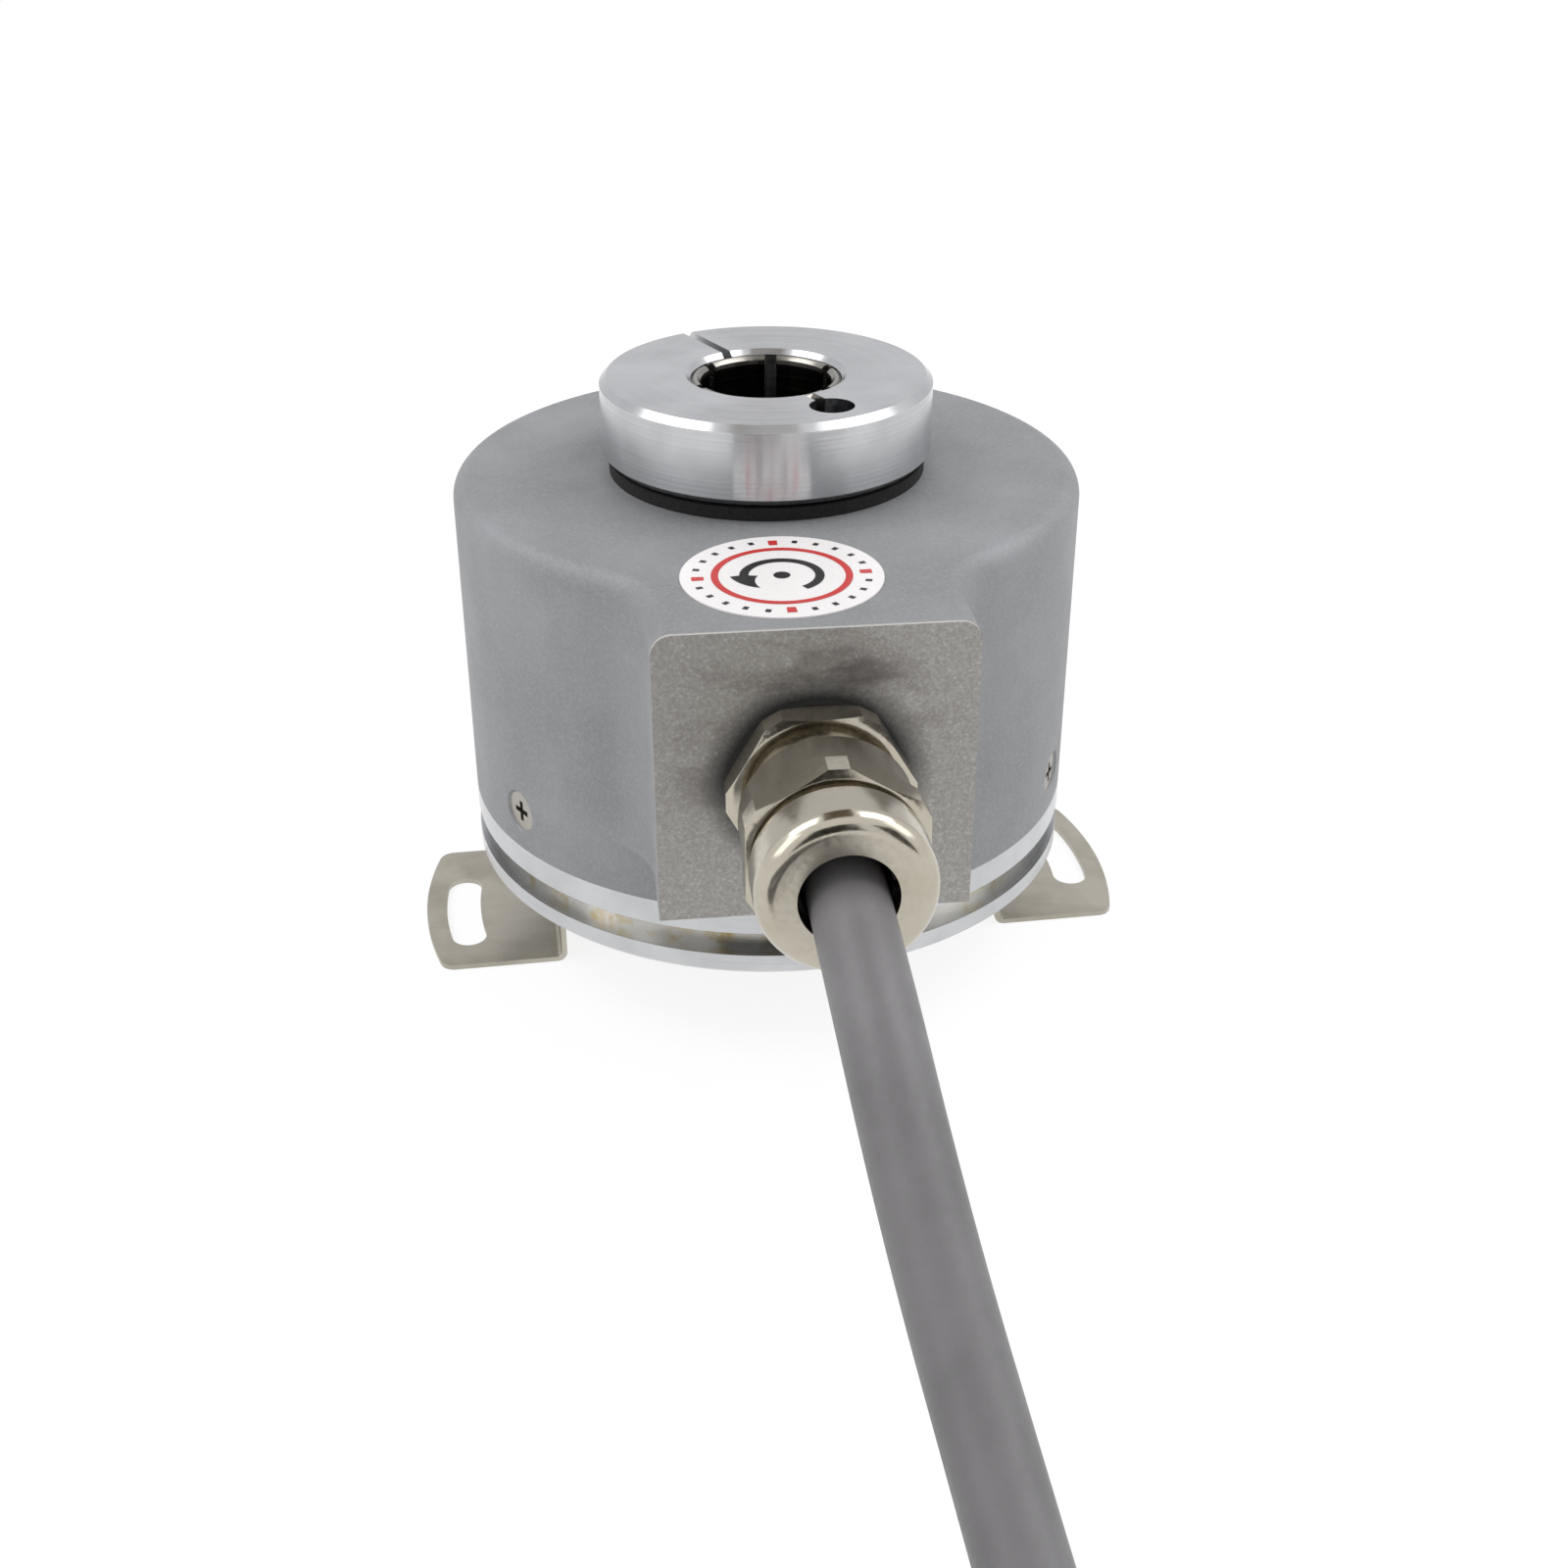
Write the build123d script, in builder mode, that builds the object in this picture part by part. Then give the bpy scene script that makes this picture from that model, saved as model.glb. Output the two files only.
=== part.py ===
"""Optical rotary encoder, 58 mm round housing, 12 mm hollow through shaft.

Frame: millimetres, +Z along the shaft from the flange towards the clamping ring, origin on the
shaft's axis in the plane of the flange's mounting face. The cable gland points towards -Y and
the two slotted tabs of the stator coupling lie along X, turned a little about Z.
"""

import os
from math import cos, pi, radians, sin, sqrt

from build123d import *

os.makedirs("parts", exist_ok=True)

# Clearances shared by pieces that seat in each other
PRESS_GAP = 0.02
RUNNING_GAP = 0.08
SEAT_GAP = 0.05

# Hollow shaft
SHAFT_BORE_RADIUS = 6.0
SHAFT_RADIUS = 7.5
SHAFT_SHOULDER_RADIUS = 8.6
SHAFT_BOTTOM = -4.3
SHAFT_TOP_RECESS = 0.4
SHAFT_EDGE = 0.3
COLLET_RADIUS = 6.9
COLLET_SLITS = 6
COLLET_SLIT_WIDTH = 1.1
COLLET_SLIT_DEPTH = 7.6
COLLET_SLIT_AZIMUTH = 20.0

# Clamping ring
CLAMP_RING_RADIUS = 15.2
CLAMP_RING_HEIGHT = 7.2
CLAMP_RING_EDGE = 0.6
CLAMP_RING_BORE_EDGE = 0.45
CLAMP_RING_SLIT = 0.9
CLAMP_RING_AZIMUTH = 115.0
KEYHOLE_RADIUS = 2.0
KEYHOLE_CENTRE_RADIUS = 11.1
KEYHOLE_NECK = 1.0
CLAMP_SCREW_RADIUS = 1.5
CLAMP_SCREW_HEAD_RADIUS = 2.6
CLAMP_SCREW_HEAD_HEIGHT = 2.2
CLAMP_SCREW_LENGTH = 9.0
CLAMP_SCREW_CENTRE_RADIUS = 11.3
CLAMP_SCREW_SEAT = 4.2
CLAMP_SCREW_SOCKET_RADIUS = 1.45
CLAMP_SCREW_SOCKET_DEPTH = 1.2

# Flange
FLANGE_RADIUS = 29.0
FLANGE_EDGE = 0.5
FLANGE_LOWER_BAND = 2.05
FLANGE_GROOVE_WIDTH = 2.35
FLANGE_GROOVE_DEPTH = 1.5
FLANGE_UPPER_BAND = 2.4
FLANGE_FLOOR = 6.0
SPIGOT_HEIGHT = 6.4
SPIGOT_WALL = 3.4
HUB_WALL = 1.6
HUB_SHOULDER = 1.0
COUPLING_THREAD_DEPTH = 4.5

# Housing cover
COVER_RADIUS = 29.0
COVER_WALL = 2.5
COVER_TOP_WALL = 3.0
COVER_HEIGHT = 30.8
COVER_TOP_FILLET = 1.7
COVER_SEAL_HOLE_RADIUS = 12.5
BLOCK_WIDTH = 26.0
BLOCK_FACE = 37.0
BLOCK_LIFT = 5.0
BLOCK_BLEND = 8.0
BLOCK_FRONT_WALL = 4.0
BLOCK_SIDE_WALL = 3.5
BLOCK_FLOOR_WALL = 3.0
CAST_ALLOWANCE = 4.0

# Cover screws, countersunk, in the wall of the cover
COVER_SCREWS = 3
COVER_SCREW_AZIMUTH = 92.0
COVER_SCREW_LEVEL = 3.8
COVER_SCREW_RADIUS = 1.25
COVER_SCREW_HEAD_RADIUS = 1.9
COVER_SCREW_HEAD_HEIGHT = 0.7
COVER_SCREW_LENGTH = 5.4
COVER_SCREW_SINK = 0.25
CROSS_RECESS_SPAN = 2.0
CROSS_RECESS_WIDTH = 0.5
CROSS_RECESS_DEPTH = 0.8

# Cover sealing cord
O_RING_SECTION_RADIUS = 0.65
O_RING_LEVEL = 1.3
O_RING_GROOVE_DEPTH = 1.3
O_RING_GROOVE_WIDTH = 1.6

# Shaft seals
UPPER_SEAL_LIP_RADIUS = 14.6
UPPER_SEAL_LIP_HEIGHT = 1.2
UPPER_SEAL_BODY = 2.4
RING_TO_SEAL_GAP = 0.3
LOWER_SEAL_RECESS = 0.3
LOWER_SEAL_HEIGHT = 2.7

# Ball bearings, 15 x 24 x 5
BEARING_OUTER_RADIUS = 12.0
BEARING_WIDTH = 5.0
BEARING_LEVELS = {"lower": 3.1, "upper": 19.7}
BALL_RADIUS = 1.2
BALLS = 9
BALL_GAP = 0.05
RACE_LAND = 0.2
CAGE_WALL = 1.3
CAGE_HEIGHT = 1.8
SHIELD_THICKNESS = 0.2
SHIELD_INSET = 0.15
SHIELD_GAP = 0.12

# Retaining ring on the shaft above the upper bearing
RETAINING_RING_THICKNESS = 1.0
RETAINING_RING_WALL = 2.1
RETAINING_RING_GROOVE = 0.35
RETAINING_RING_GAP_ANGLE = 46.0

# Code disc and its hub
DISC_HUB_RADIUS = 11.2
DISC_HUB_NECK_RADIUS = 9.4
DISC_HUB_NECK = 1.4
DISC_HUB_FLANGE = 1.2
DISC_RADIUS = 17.5
DISC_THICKNESS = 0.3
TRACK_RADIUS = 15.4
TRACK_WIDTH = 1.8
TRACK_WINDOWS = 36
INDEX_TRACK_RADIUS = 13.2
DISC_CLAMP_THICKNESS = 1.1
DISC_SCREWS = 3
DISC_SCREW_CIRCLE = 9.4
DISC_SCREW_RADIUS = 0.7
DISC_SCREW_HEAD_RADIUS = 1.2
DISC_SCREW_HEAD_HEIGHT = 0.6

# Light source, mask and receiver
OPTICS_AZIMUTH = 90.0
LED_RADIUS = 1.5
LED_BODY = 1.6
LED_TO_DISC_GAP = 0.7
LED_POST_WIDTH = 8.0
LED_POST_DEPTH = 4.6
MASK_SIZE = 6.0
MASK_THICKNESS = 0.5
MASK_TO_DISC_GAP = 0.6
RECEIVER_LENGTH = 7.0
RECEIVER_DEPTH = 5.0

# Circuit board on three pillars
BOARD_RADIUS = 24.5
BOARD_HOLE_RADIUS = 9.2
BOARD_THICKNESS = 1.6
BOARD_UNDERSIDE = 31.6
PILLARS = 3
PILLAR_AZIMUTH = 90.0
PILLAR_CIRCLE = 20.6
PILLAR_RADIUS = 2.0
BOARD_SCREW_RADIUS = 1.0
BOARD_SCREW_HEAD_RADIUS = 1.9
BOARD_SCREW_HEAD_HEIGHT = 0.9
BOARD_SCREW_LENGTH = 5.0
SIGNAL_CHIP = (7.0, 5.0, 1.2)
DRIVER_CHIP = (5.0, 4.0, 1.2)
CAPACITOR = (3.2, 2.5, 1.6)
CONNECTOR = (12.0, 4.5, 3.6)
CONNECTOR_WALL = 0.6

# Cable gland, M12 thread, 14 mm across the flats
GLAND_LEVEL = 24.5
GLAND_THREAD_RADIUS = 6.0
GLAND_THREAD_LENGTH = 7.0
GLAND_BORE_RADIUS = 3.6
GLAND_ACROSS_FLATS = 14.0
GLAND_CORNER_CUT = 0.95
GLAND_CORNER_BREAK = 0.35
GLAND_WASHER_RADIUS = 7.1
GLAND_WASHER_THICKNESS = 0.8
GLAND_HEX_COLLAR = 0.3
GLAND_HEX_HEIGHT = 2.8
GLAND_NECK_RADIUS = 5.9
GLAND_NECK_LENGTH = 8.9
GLAND_SEAL_SEAT_RADIUS = 4.9
GLAND_SEAL_LENGTH = 7.4
GLAND_NUT_START = 6.1
GLAND_NUT_COLLAR = 4.1
GLAND_NUT_HEX = 6.8
GLAND_GROOVE_RADIUS = 6.4
GLAND_GROOVE_WIDTH = 0.9
GLAND_DOME_RADIUS = 6.9
GLAND_LENGTH = 18.4
GLAND_DOME_ROUND = 1.5
GLAND_MOUTH_RADIUS = 3.8
GLAND_MOUTH_WALL = 1.8
GLAND_CHAMBER_RADIUS = 5.6
GLAND_CLAW_BORE_RADIUS = 3.5
GLAND_CLAW_SLITS = 6
GLAND_CLAW_SLIT_WIDTH = 0.6

# Label on the cover
LABEL_RADIUS = 8.35
LABEL_THICKNESS = 0.12
LABEL_CENTRE = (-1.6, -26.6)

# Stator coupling, spring steel sheet
COUPLING_TURN = 2.0
COUPLING_SHEET = 0.5
COUPLING_OFFSET = 8.7
COUPLING_WIDTH = 21.5
COUPLING_LEG = 22.0
COUPLING_REACH = 35.2
COUPLING_BEND = 0.5
COUPLING_HOLE_RADIUS = 9.0
COUPLING_EAR_WIDTH = 9.0
COUPLING_SCREW_CIRCLE = 17.5
COUPLING_SCREW_RADIUS = 1.5
COUPLING_SCREW_HEAD_RADIUS = 2.75
COUPLING_SCREW_HEAD_HEIGHT = 1.8
COUPLING_SCREW_LENGTH = 4.0
SLOT_CIRCLE_RADIUS = 31.5
SLOT_WIDTH = 3.4
SLOT_HALF_ANGLE = 8.4
TAB_CORNER = 1.5

# Cable, six screened cores under a PVC jacket, about 1 m long outside the gland
CABLE_RADIUS = 3.1
COIL_RADIUS = 33.0
COIL_CENTRE = (-28.8, -140.0)
COIL_ROUNDING = 2.4
COIL_TURNS_WIDE = 2
COIL_LAYERS = 2
TAIL_ANGLE = 195.0
END_SLEEVE_RADIUS = 3.5
END_SLEEVE_AZIMUTH = 266.0
END_SLEEVE_LENGTH = 14.0
CORE_RADIUS = 0.65
CORE_LENGTH = 34.0
CORE_ROWS = (4, 2)
CORE_SPACING = 1.4

# Levels that follow from the sizes above
FLANGE_TOP = FLANGE_LOWER_BAND + FLANGE_GROOVE_WIDTH + FLANGE_UPPER_BAND
COVER_TOP = FLANGE_TOP + COVER_HEIGHT
COVER_CEILING = COVER_TOP - COVER_TOP_WALL
BLOCK_BOTTOM = FLANGE_TOP + BLOCK_LIFT
RING_BOTTOM = COVER_TOP + UPPER_SEAL_LIP_HEIGHT + RING_TO_SEAL_GAP
RING_TOP = RING_BOTTOM + CLAMP_RING_HEIGHT
SHAFT_TOP = RING_TOP - SHAFT_TOP_RECESS
UPPER_BEARING_TOP = BEARING_LEVELS["upper"] + BEARING_WIDTH
LOWER_BEARING_TOP = BEARING_LEVELS["lower"] + BEARING_WIDTH
HUB_TOP = UPPER_BEARING_TOP - SHIELD_INSET
RETAINING_RING_BOTTOM = UPPER_BEARING_TOP + SEAT_GAP
DISC_HUB_BOTTOM = RETAINING_RING_BOTTOM + RETAINING_RING_THICKNESS + SEAT_GAP
DISC_BOTTOM = DISC_HUB_BOTTOM + DISC_HUB_NECK + DISC_HUB_FLANGE
DISC_TOP = DISC_BOTTOM + DISC_THICKNESS
FLOOR_LEVEL = -COUPLING_OFFSET
BALL_CIRCLE = (BEARING_OUTER_RADIUS + SHAFT_RADIUS) / 2


def radial_plane(azimuth, radius, level):
    """Plane on a cylinder about the shaft, its normal pointing outwards."""
    direction = Vector(cos(radians(azimuth)), sin(radians(azimuth)), 0)
    return Plane(origin=direction * radius + Vector(0, 0, level), x_dir=(0, 0, 1), z_dir=direction)


# Flange with bearing hub
spigot_radius = COVER_RADIUS - COVER_WALL - SEAT_GAP
spigot_top = FLANGE_TOP + SPIGOT_HEIGHT
hub_radius = BEARING_OUTER_RADIUS + HUB_WALL
hub_bore = BEARING_OUTER_RADIUS - HUB_SHOULDER
groove_top = FLANGE_LOWER_BAND + FLANGE_GROOVE_WIDTH
groove_floor = FLANGE_RADIUS - FLANGE_GROOVE_DEPTH
o_ring_level = FLANGE_TOP + O_RING_LEVEL
o_ring_floor = spigot_radius - O_RING_GROOVE_DEPTH

with BuildPart() as flange_base:
    with BuildSketch(Plane.XZ):
        with BuildLine():
            Polyline(
                (BEARING_OUTER_RADIUS, 0),
                (FLANGE_RADIUS - FLANGE_EDGE, 0),
                (FLANGE_RADIUS, FLANGE_EDGE),
                (FLANGE_RADIUS, FLANGE_LOWER_BAND),
                (groove_floor, FLANGE_LOWER_BAND),
                (groove_floor, groove_top),
                (FLANGE_RADIUS, groove_top),
                (FLANGE_RADIUS, FLANGE_TOP),
                (spigot_radius, FLANGE_TOP),
                (spigot_radius, o_ring_level - O_RING_GROOVE_WIDTH / 2),
                (o_ring_floor, o_ring_level - O_RING_GROOVE_WIDTH / 2),
                (o_ring_floor, o_ring_level + O_RING_GROOVE_WIDTH / 2),
                (spigot_radius, o_ring_level + O_RING_GROOVE_WIDTH / 2),
                (spigot_radius, spigot_top),
                (spigot_radius - SPIGOT_WALL, spigot_top),
                (spigot_radius - SPIGOT_WALL, FLANGE_FLOOR),
                (hub_radius, FLANGE_FLOOR),
                (hub_radius, HUB_TOP),
                (BEARING_OUTER_RADIUS, HUB_TOP),
                (BEARING_OUTER_RADIUS, BEARING_LEVELS["upper"] - SEAT_GAP),
                (hub_bore, BEARING_LEVELS["upper"] - SEAT_GAP),
                (hub_bore, LOWER_BEARING_TOP + SEAT_GAP),
                (BEARING_OUTER_RADIUS, LOWER_BEARING_TOP + SEAT_GAP),
                close=True,
            )
        make_face()
    revolve(axis=Axis.Z)
    with BuildSketch(Plane.XY):
        with PolarLocations(COUPLING_SCREW_CIRCLE, 2, start_angle=90 + COUPLING_TURN):
            Circle(COUPLING_SCREW_RADIUS)
    extrude(amount=COUPLING_THREAD_DEPTH, mode=Mode.SUBTRACT)
    for copy in range(COVER_SCREWS):
        azimuth = COVER_SCREW_AZIMUTH + copy * 360 / COVER_SCREWS
        with BuildSketch(radial_plane(azimuth, spigot_radius - SPIGOT_WALL, FLANGE_TOP + COVER_SCREW_LEVEL)):
            Circle(COVER_SCREW_RADIUS)
        extrude(amount=SPIGOT_WALL + 1, mode=Mode.SUBTRACT)

flange_base.part.label = "flange_base"
export_step(flange_base.part, "parts/flange_base.step")

# Housing cover, cast in one piece with the cable block
with BuildPart() as housing_cover:
    with BuildSketch(Plane.XY.offset(FLANGE_TOP)):
        Circle(COVER_RADIUS)
    extrude(amount=COVER_HEIGHT)
    with BuildSketch(Plane.XY.offset(BLOCK_BOTTOM)) as block_outline:
        Circle(COVER_RADIUS)
        with Locations((0, -(BLOCK_FACE + CAST_ALLOWANCE) / 2)):
            Rectangle(BLOCK_WIDTH, BLOCK_FACE + CAST_ALLOWANCE)
        block_roots = block_outline.vertices().filter_by_position(Axis.Y, -COVER_RADIUS, -COVER_RADIUS / 2)
        fillet(block_roots, radius=BLOCK_BLEND)
    extrude(amount=COVER_TOP - BLOCK_BOTTOM)
    top_edges = housing_cover.faces().sort_by(Axis.Z)[-1].outer_wire().edges()
    fillet(top_edges, radius=COVER_TOP_FILLET)
    with BuildSketch(Plane.XZ.offset(BLOCK_FACE)):
        Rectangle(4 * BLOCK_WIDTH, 4 * COVER_HEIGHT)
    extrude(amount=2 * CAST_ALLOWANCE, mode=Mode.SUBTRACT)
    with BuildSketch(Plane.XY.offset(FLANGE_TOP)):
        Circle(COVER_RADIUS - COVER_WALL)
    extrude(amount=COVER_CEILING - FLANGE_TOP, mode=Mode.SUBTRACT)
    with BuildSketch(Plane.XY.offset(BLOCK_BOTTOM + BLOCK_FLOOR_WALL)):
        with Locations((0, -(BLOCK_FACE - BLOCK_FRONT_WALL) / 2)):
            Rectangle(BLOCK_WIDTH - 2 * BLOCK_SIDE_WALL, BLOCK_FACE - BLOCK_FRONT_WALL)
    extrude(amount=COVER_CEILING - BLOCK_BOTTOM - BLOCK_FLOOR_WALL, mode=Mode.SUBTRACT)
    with BuildSketch(Plane.XY.offset(COVER_CEILING)):
        Circle(COVER_SEAL_HOLE_RADIUS)
    extrude(amount=COVER_TOP_WALL, mode=Mode.SUBTRACT)
    with BuildSketch(Plane.XZ.offset(BLOCK_FACE - BLOCK_FRONT_WALL)):
        with Locations((0, GLAND_LEVEL)):
            Circle(GLAND_THREAD_RADIUS)
    extrude(amount=BLOCK_FRONT_WALL, mode=Mode.SUBTRACT)
    for copy in range(COVER_SCREWS):
        azimuth = COVER_SCREW_AZIMUTH + copy * 360 / COVER_SCREWS
        with Locations(radial_plane(azimuth, COVER_RADIUS, FLANGE_TOP + COVER_SCREW_LEVEL)):
            CounterSinkHole(
                COVER_SCREW_RADIUS + RUNNING_GAP,
                COVER_SCREW_HEAD_RADIUS + COVER_SCREW_SINK,
                depth=COVER_WALL + 1,
            )

housing_cover.part.label = "housing_cover"
export_step(housing_cover.part, "parts/housing_cover.step")

# Cover screws, countersunk with a cross recess
with BuildPart() as cover_screw:
    with BuildSketch(Plane.XZ):
        with BuildLine():
            Polyline(
                (0, -COVER_SCREW_SINK),
                (COVER_SCREW_HEAD_RADIUS, -COVER_SCREW_SINK),
                (COVER_SCREW_RADIUS, -COVER_SCREW_SINK - COVER_SCREW_HEAD_HEIGHT),
                (COVER_SCREW_RADIUS - PRESS_GAP, -COVER_SCREW_LENGTH),
                (0, -COVER_SCREW_LENGTH),
                close=True,
            )
        make_face()
    revolve(axis=Axis.Z)
    with BuildSketch(Plane.XY.offset(-COVER_SCREW_SINK)):
        Rectangle(CROSS_RECESS_SPAN, CROSS_RECESS_WIDTH)
        Rectangle(CROSS_RECESS_WIDTH, CROSS_RECESS_SPAN)
    extrude(amount=-CROSS_RECESS_DEPTH, mode=Mode.SUBTRACT)

with BuildPart() as cover_screws:
    for copy in range(COVER_SCREWS):
        azimuth = COVER_SCREW_AZIMUTH + copy * 360 / COVER_SCREWS
        with Locations(radial_plane(azimuth, COVER_RADIUS, FLANGE_TOP + COVER_SCREW_LEVEL)):
            add(cover_screw.part)

cover_screws.part.label = "cover_screws"
export_step(cover_screws.part, "parts/cover_screws.step")

# Sealing cord between flange and cover
with BuildPart() as cover_o_ring:
    with BuildSketch(Plane.XZ):
        with Locations((o_ring_floor + O_RING_SECTION_RADIUS + PRESS_GAP, o_ring_level)):
            Circle(O_RING_SECTION_RADIUS)
    revolve(axis=Axis.Z)

cover_o_ring.part.label = "cover_o_ring"
export_step(cover_o_ring.part, "parts/cover_o_ring.step")

# Hollow shaft with a slotted collet end
with BuildPart() as hollow_shaft:
    with BuildSketch(Plane.XZ):
        with BuildLine():
            Polyline(
                (SHAFT_BORE_RADIUS, SHAFT_BOTTOM),
                (SHAFT_RADIUS - SHAFT_EDGE, SHAFT_BOTTOM),
                (SHAFT_RADIUS, SHAFT_BOTTOM + SHAFT_EDGE),
                (SHAFT_RADIUS, LOWER_BEARING_TOP + SEAT_GAP),
                (SHAFT_SHOULDER_RADIUS, LOWER_BEARING_TOP + SEAT_GAP),
                (SHAFT_SHOULDER_RADIUS, BEARING_LEVELS["upper"] - SEAT_GAP),
                (SHAFT_RADIUS, BEARING_LEVELS["upper"] - SEAT_GAP),
                (SHAFT_RADIUS, RETAINING_RING_BOTTOM - PRESS_GAP),
                (SHAFT_RADIUS - RETAINING_RING_GROOVE, RETAINING_RING_BOTTOM - PRESS_GAP),
                (SHAFT_RADIUS - RETAINING_RING_GROOVE, DISC_HUB_BOTTOM - PRESS_GAP),
                (SHAFT_RADIUS, DISC_HUB_BOTTOM - PRESS_GAP),
                (SHAFT_RADIUS, RING_BOTTOM - SEAT_GAP),
                (COLLET_RADIUS, RING_BOTTOM - SEAT_GAP),
                (COLLET_RADIUS, SHAFT_TOP - SHAFT_EDGE),
                (COLLET_RADIUS - SHAFT_EDGE, SHAFT_TOP),
                (SHAFT_BORE_RADIUS + SHAFT_EDGE, SHAFT_TOP),
                (SHAFT_BORE_RADIUS, SHAFT_TOP - SHAFT_EDGE),
                close=True,
            )
        make_face()
    revolve(axis=Axis.Z)
    with BuildSketch(Plane.XY.offset(SHAFT_TOP)):
        with PolarLocations(SHAFT_RADIUS, COLLET_SLITS, start_angle=COLLET_SLIT_AZIMUTH):
            Rectangle(2 * SHAFT_RADIUS - SHAFT_BORE_RADIUS, COLLET_SLIT_WIDTH)
    extrude(amount=-COLLET_SLIT_DEPTH, mode=Mode.SUBTRACT)

hollow_shaft.part.label = "hollow_shaft"
export_step(hollow_shaft.part, "parts/hollow_shaft.step")

# Clamping ring with its slit, keyhole and cross screw
ring_middle = RING_BOTTOM + CLAMP_RING_HEIGHT / 2
keyhole_neck_middle = (KEYHOLE_CENTRE_RADIUS + SHAFT_BORE_RADIUS) / 2
slit_direction = Vector(cos(radians(CLAMP_RING_AZIMUTH)), sin(radians(CLAMP_RING_AZIMUTH)), 0)
slit_side = Vector(-slit_direction.Y, slit_direction.X, 0)
clamp_screw_plane = Plane(
    origin=slit_direction * CLAMP_SCREW_CENTRE_RADIUS + slit_side * CLAMP_SCREW_SEAT + Vector(0, 0, ring_middle),
    x_dir=(0, 0, 1),
    z_dir=slit_side,
)

with BuildPart() as clamp_ring:
    with BuildSketch(Plane.XY.offset(RING_BOTTOM)):
        Circle(CLAMP_RING_RADIUS)
        Circle(COLLET_RADIUS + PRESS_GAP, mode=Mode.SUBTRACT)
    extrude(amount=CLAMP_RING_HEIGHT)
    rims = clamp_ring.edges().filter_by(GeomType.CIRCLE).filter_by(lambda edge: edge.radius > SHAFT_RADIUS + 1)
    chamfer(rims, length=CLAMP_RING_EDGE)
    top_circles = clamp_ring.faces().sort_by(Axis.Z)[-1].edges()
    chamfer(top_circles.sort_by(SortBy.RADIUS)[0], length=CLAMP_RING_BORE_EDGE)
    with BuildSketch(Plane.XY.offset(RING_BOTTOM)):
        with PolarLocations(CLAMP_RING_RADIUS / 2 + 1, 1, start_angle=CLAMP_RING_AZIMUTH):
            Rectangle(CLAMP_RING_RADIUS, CLAMP_RING_SLIT)
        with PolarLocations(KEYHOLE_CENTRE_RADIUS, 1, start_angle=CLAMP_RING_AZIMUTH + 180):
            Circle(KEYHOLE_RADIUS)
        with PolarLocations(keyhole_neck_middle, 1, start_angle=CLAMP_RING_AZIMUTH + 180):
            Rectangle(KEYHOLE_CENTRE_RADIUS - SHAFT_BORE_RADIUS, KEYHOLE_NECK)
    extrude(amount=CLAMP_RING_HEIGHT, mode=Mode.SUBTRACT)
    with BuildSketch(clamp_screw_plane):
        Circle(CLAMP_SCREW_HEAD_RADIUS + RUNNING_GAP)
    extrude(amount=CLAMP_RING_RADIUS, mode=Mode.SUBTRACT)
    with BuildSketch(clamp_screw_plane):
        Circle(CLAMP_SCREW_RADIUS + PRESS_GAP)
    extrude(amount=-CLAMP_SCREW_LENGTH - SEAT_GAP, mode=Mode.SUBTRACT)

clamp_ring.part.label = "clamp_ring"
export_step(clamp_ring.part, "parts/clamp_ring.step")

with BuildPart() as clamp_screw:
    with BuildSketch(clamp_screw_plane.offset(PRESS_GAP)):
        Circle(CLAMP_SCREW_HEAD_RADIUS)
    extrude(amount=CLAMP_SCREW_HEAD_HEIGHT)
    with BuildSketch(clamp_screw_plane.offset(PRESS_GAP)):
        Circle(CLAMP_SCREW_RADIUS)
    extrude(amount=-CLAMP_SCREW_LENGTH)
    with BuildSketch(clamp_screw_plane.offset(PRESS_GAP + CLAMP_SCREW_HEAD_HEIGHT)):
        RegularPolygon(CLAMP_SCREW_SOCKET_RADIUS, 6)
    extrude(amount=-CLAMP_SCREW_SOCKET_DEPTH, mode=Mode.SUBTRACT)

clamp_screw.part.label = "clamp_screw"
export_step(clamp_screw.part, "parts/clamp_screw.step")

# Rubber seals round the shaft
with BuildPart() as upper_seal:
    with BuildSketch(Plane.XY.offset(COVER_TOP - UPPER_SEAL_BODY)):
        Circle(COVER_SEAL_HOLE_RADIUS - PRESS_GAP)
    extrude(amount=UPPER_SEAL_BODY)
    with BuildSketch(Plane.XY.offset(COVER_TOP)):
        Circle(UPPER_SEAL_LIP_RADIUS)
    extrude(amount=UPPER_SEAL_LIP_HEIGHT)
    with BuildSketch(Plane.XY.offset(COVER_TOP - UPPER_SEAL_BODY)):
        Circle(SHAFT_RADIUS + RUNNING_GAP)
    extrude(amount=UPPER_SEAL_BODY + UPPER_SEAL_LIP_HEIGHT, mode=Mode.SUBTRACT)

upper_seal.part.label = "upper_seal"
export_step(upper_seal.part, "parts/upper_seal.step")

with BuildPart() as lower_seal:
    with BuildSketch(Plane.XY.offset(LOWER_SEAL_RECESS)):
        Circle(BEARING_OUTER_RADIUS - PRESS_GAP)
        Circle(SHAFT_RADIUS + RUNNING_GAP, mode=Mode.SUBTRACT)
    extrude(amount=LOWER_SEAL_HEIGHT)

lower_seal.part.label = "lower_seal"
export_step(lower_seal.part, "parts/lower_seal.step")

# Ball bearings
race_radius = BALL_RADIUS + BALL_GAP
inner_land = BALL_CIRCLE - BALL_RADIUS + RACE_LAND
outer_land = BALL_CIRCLE + BALL_RADIUS - RACE_LAND

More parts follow.
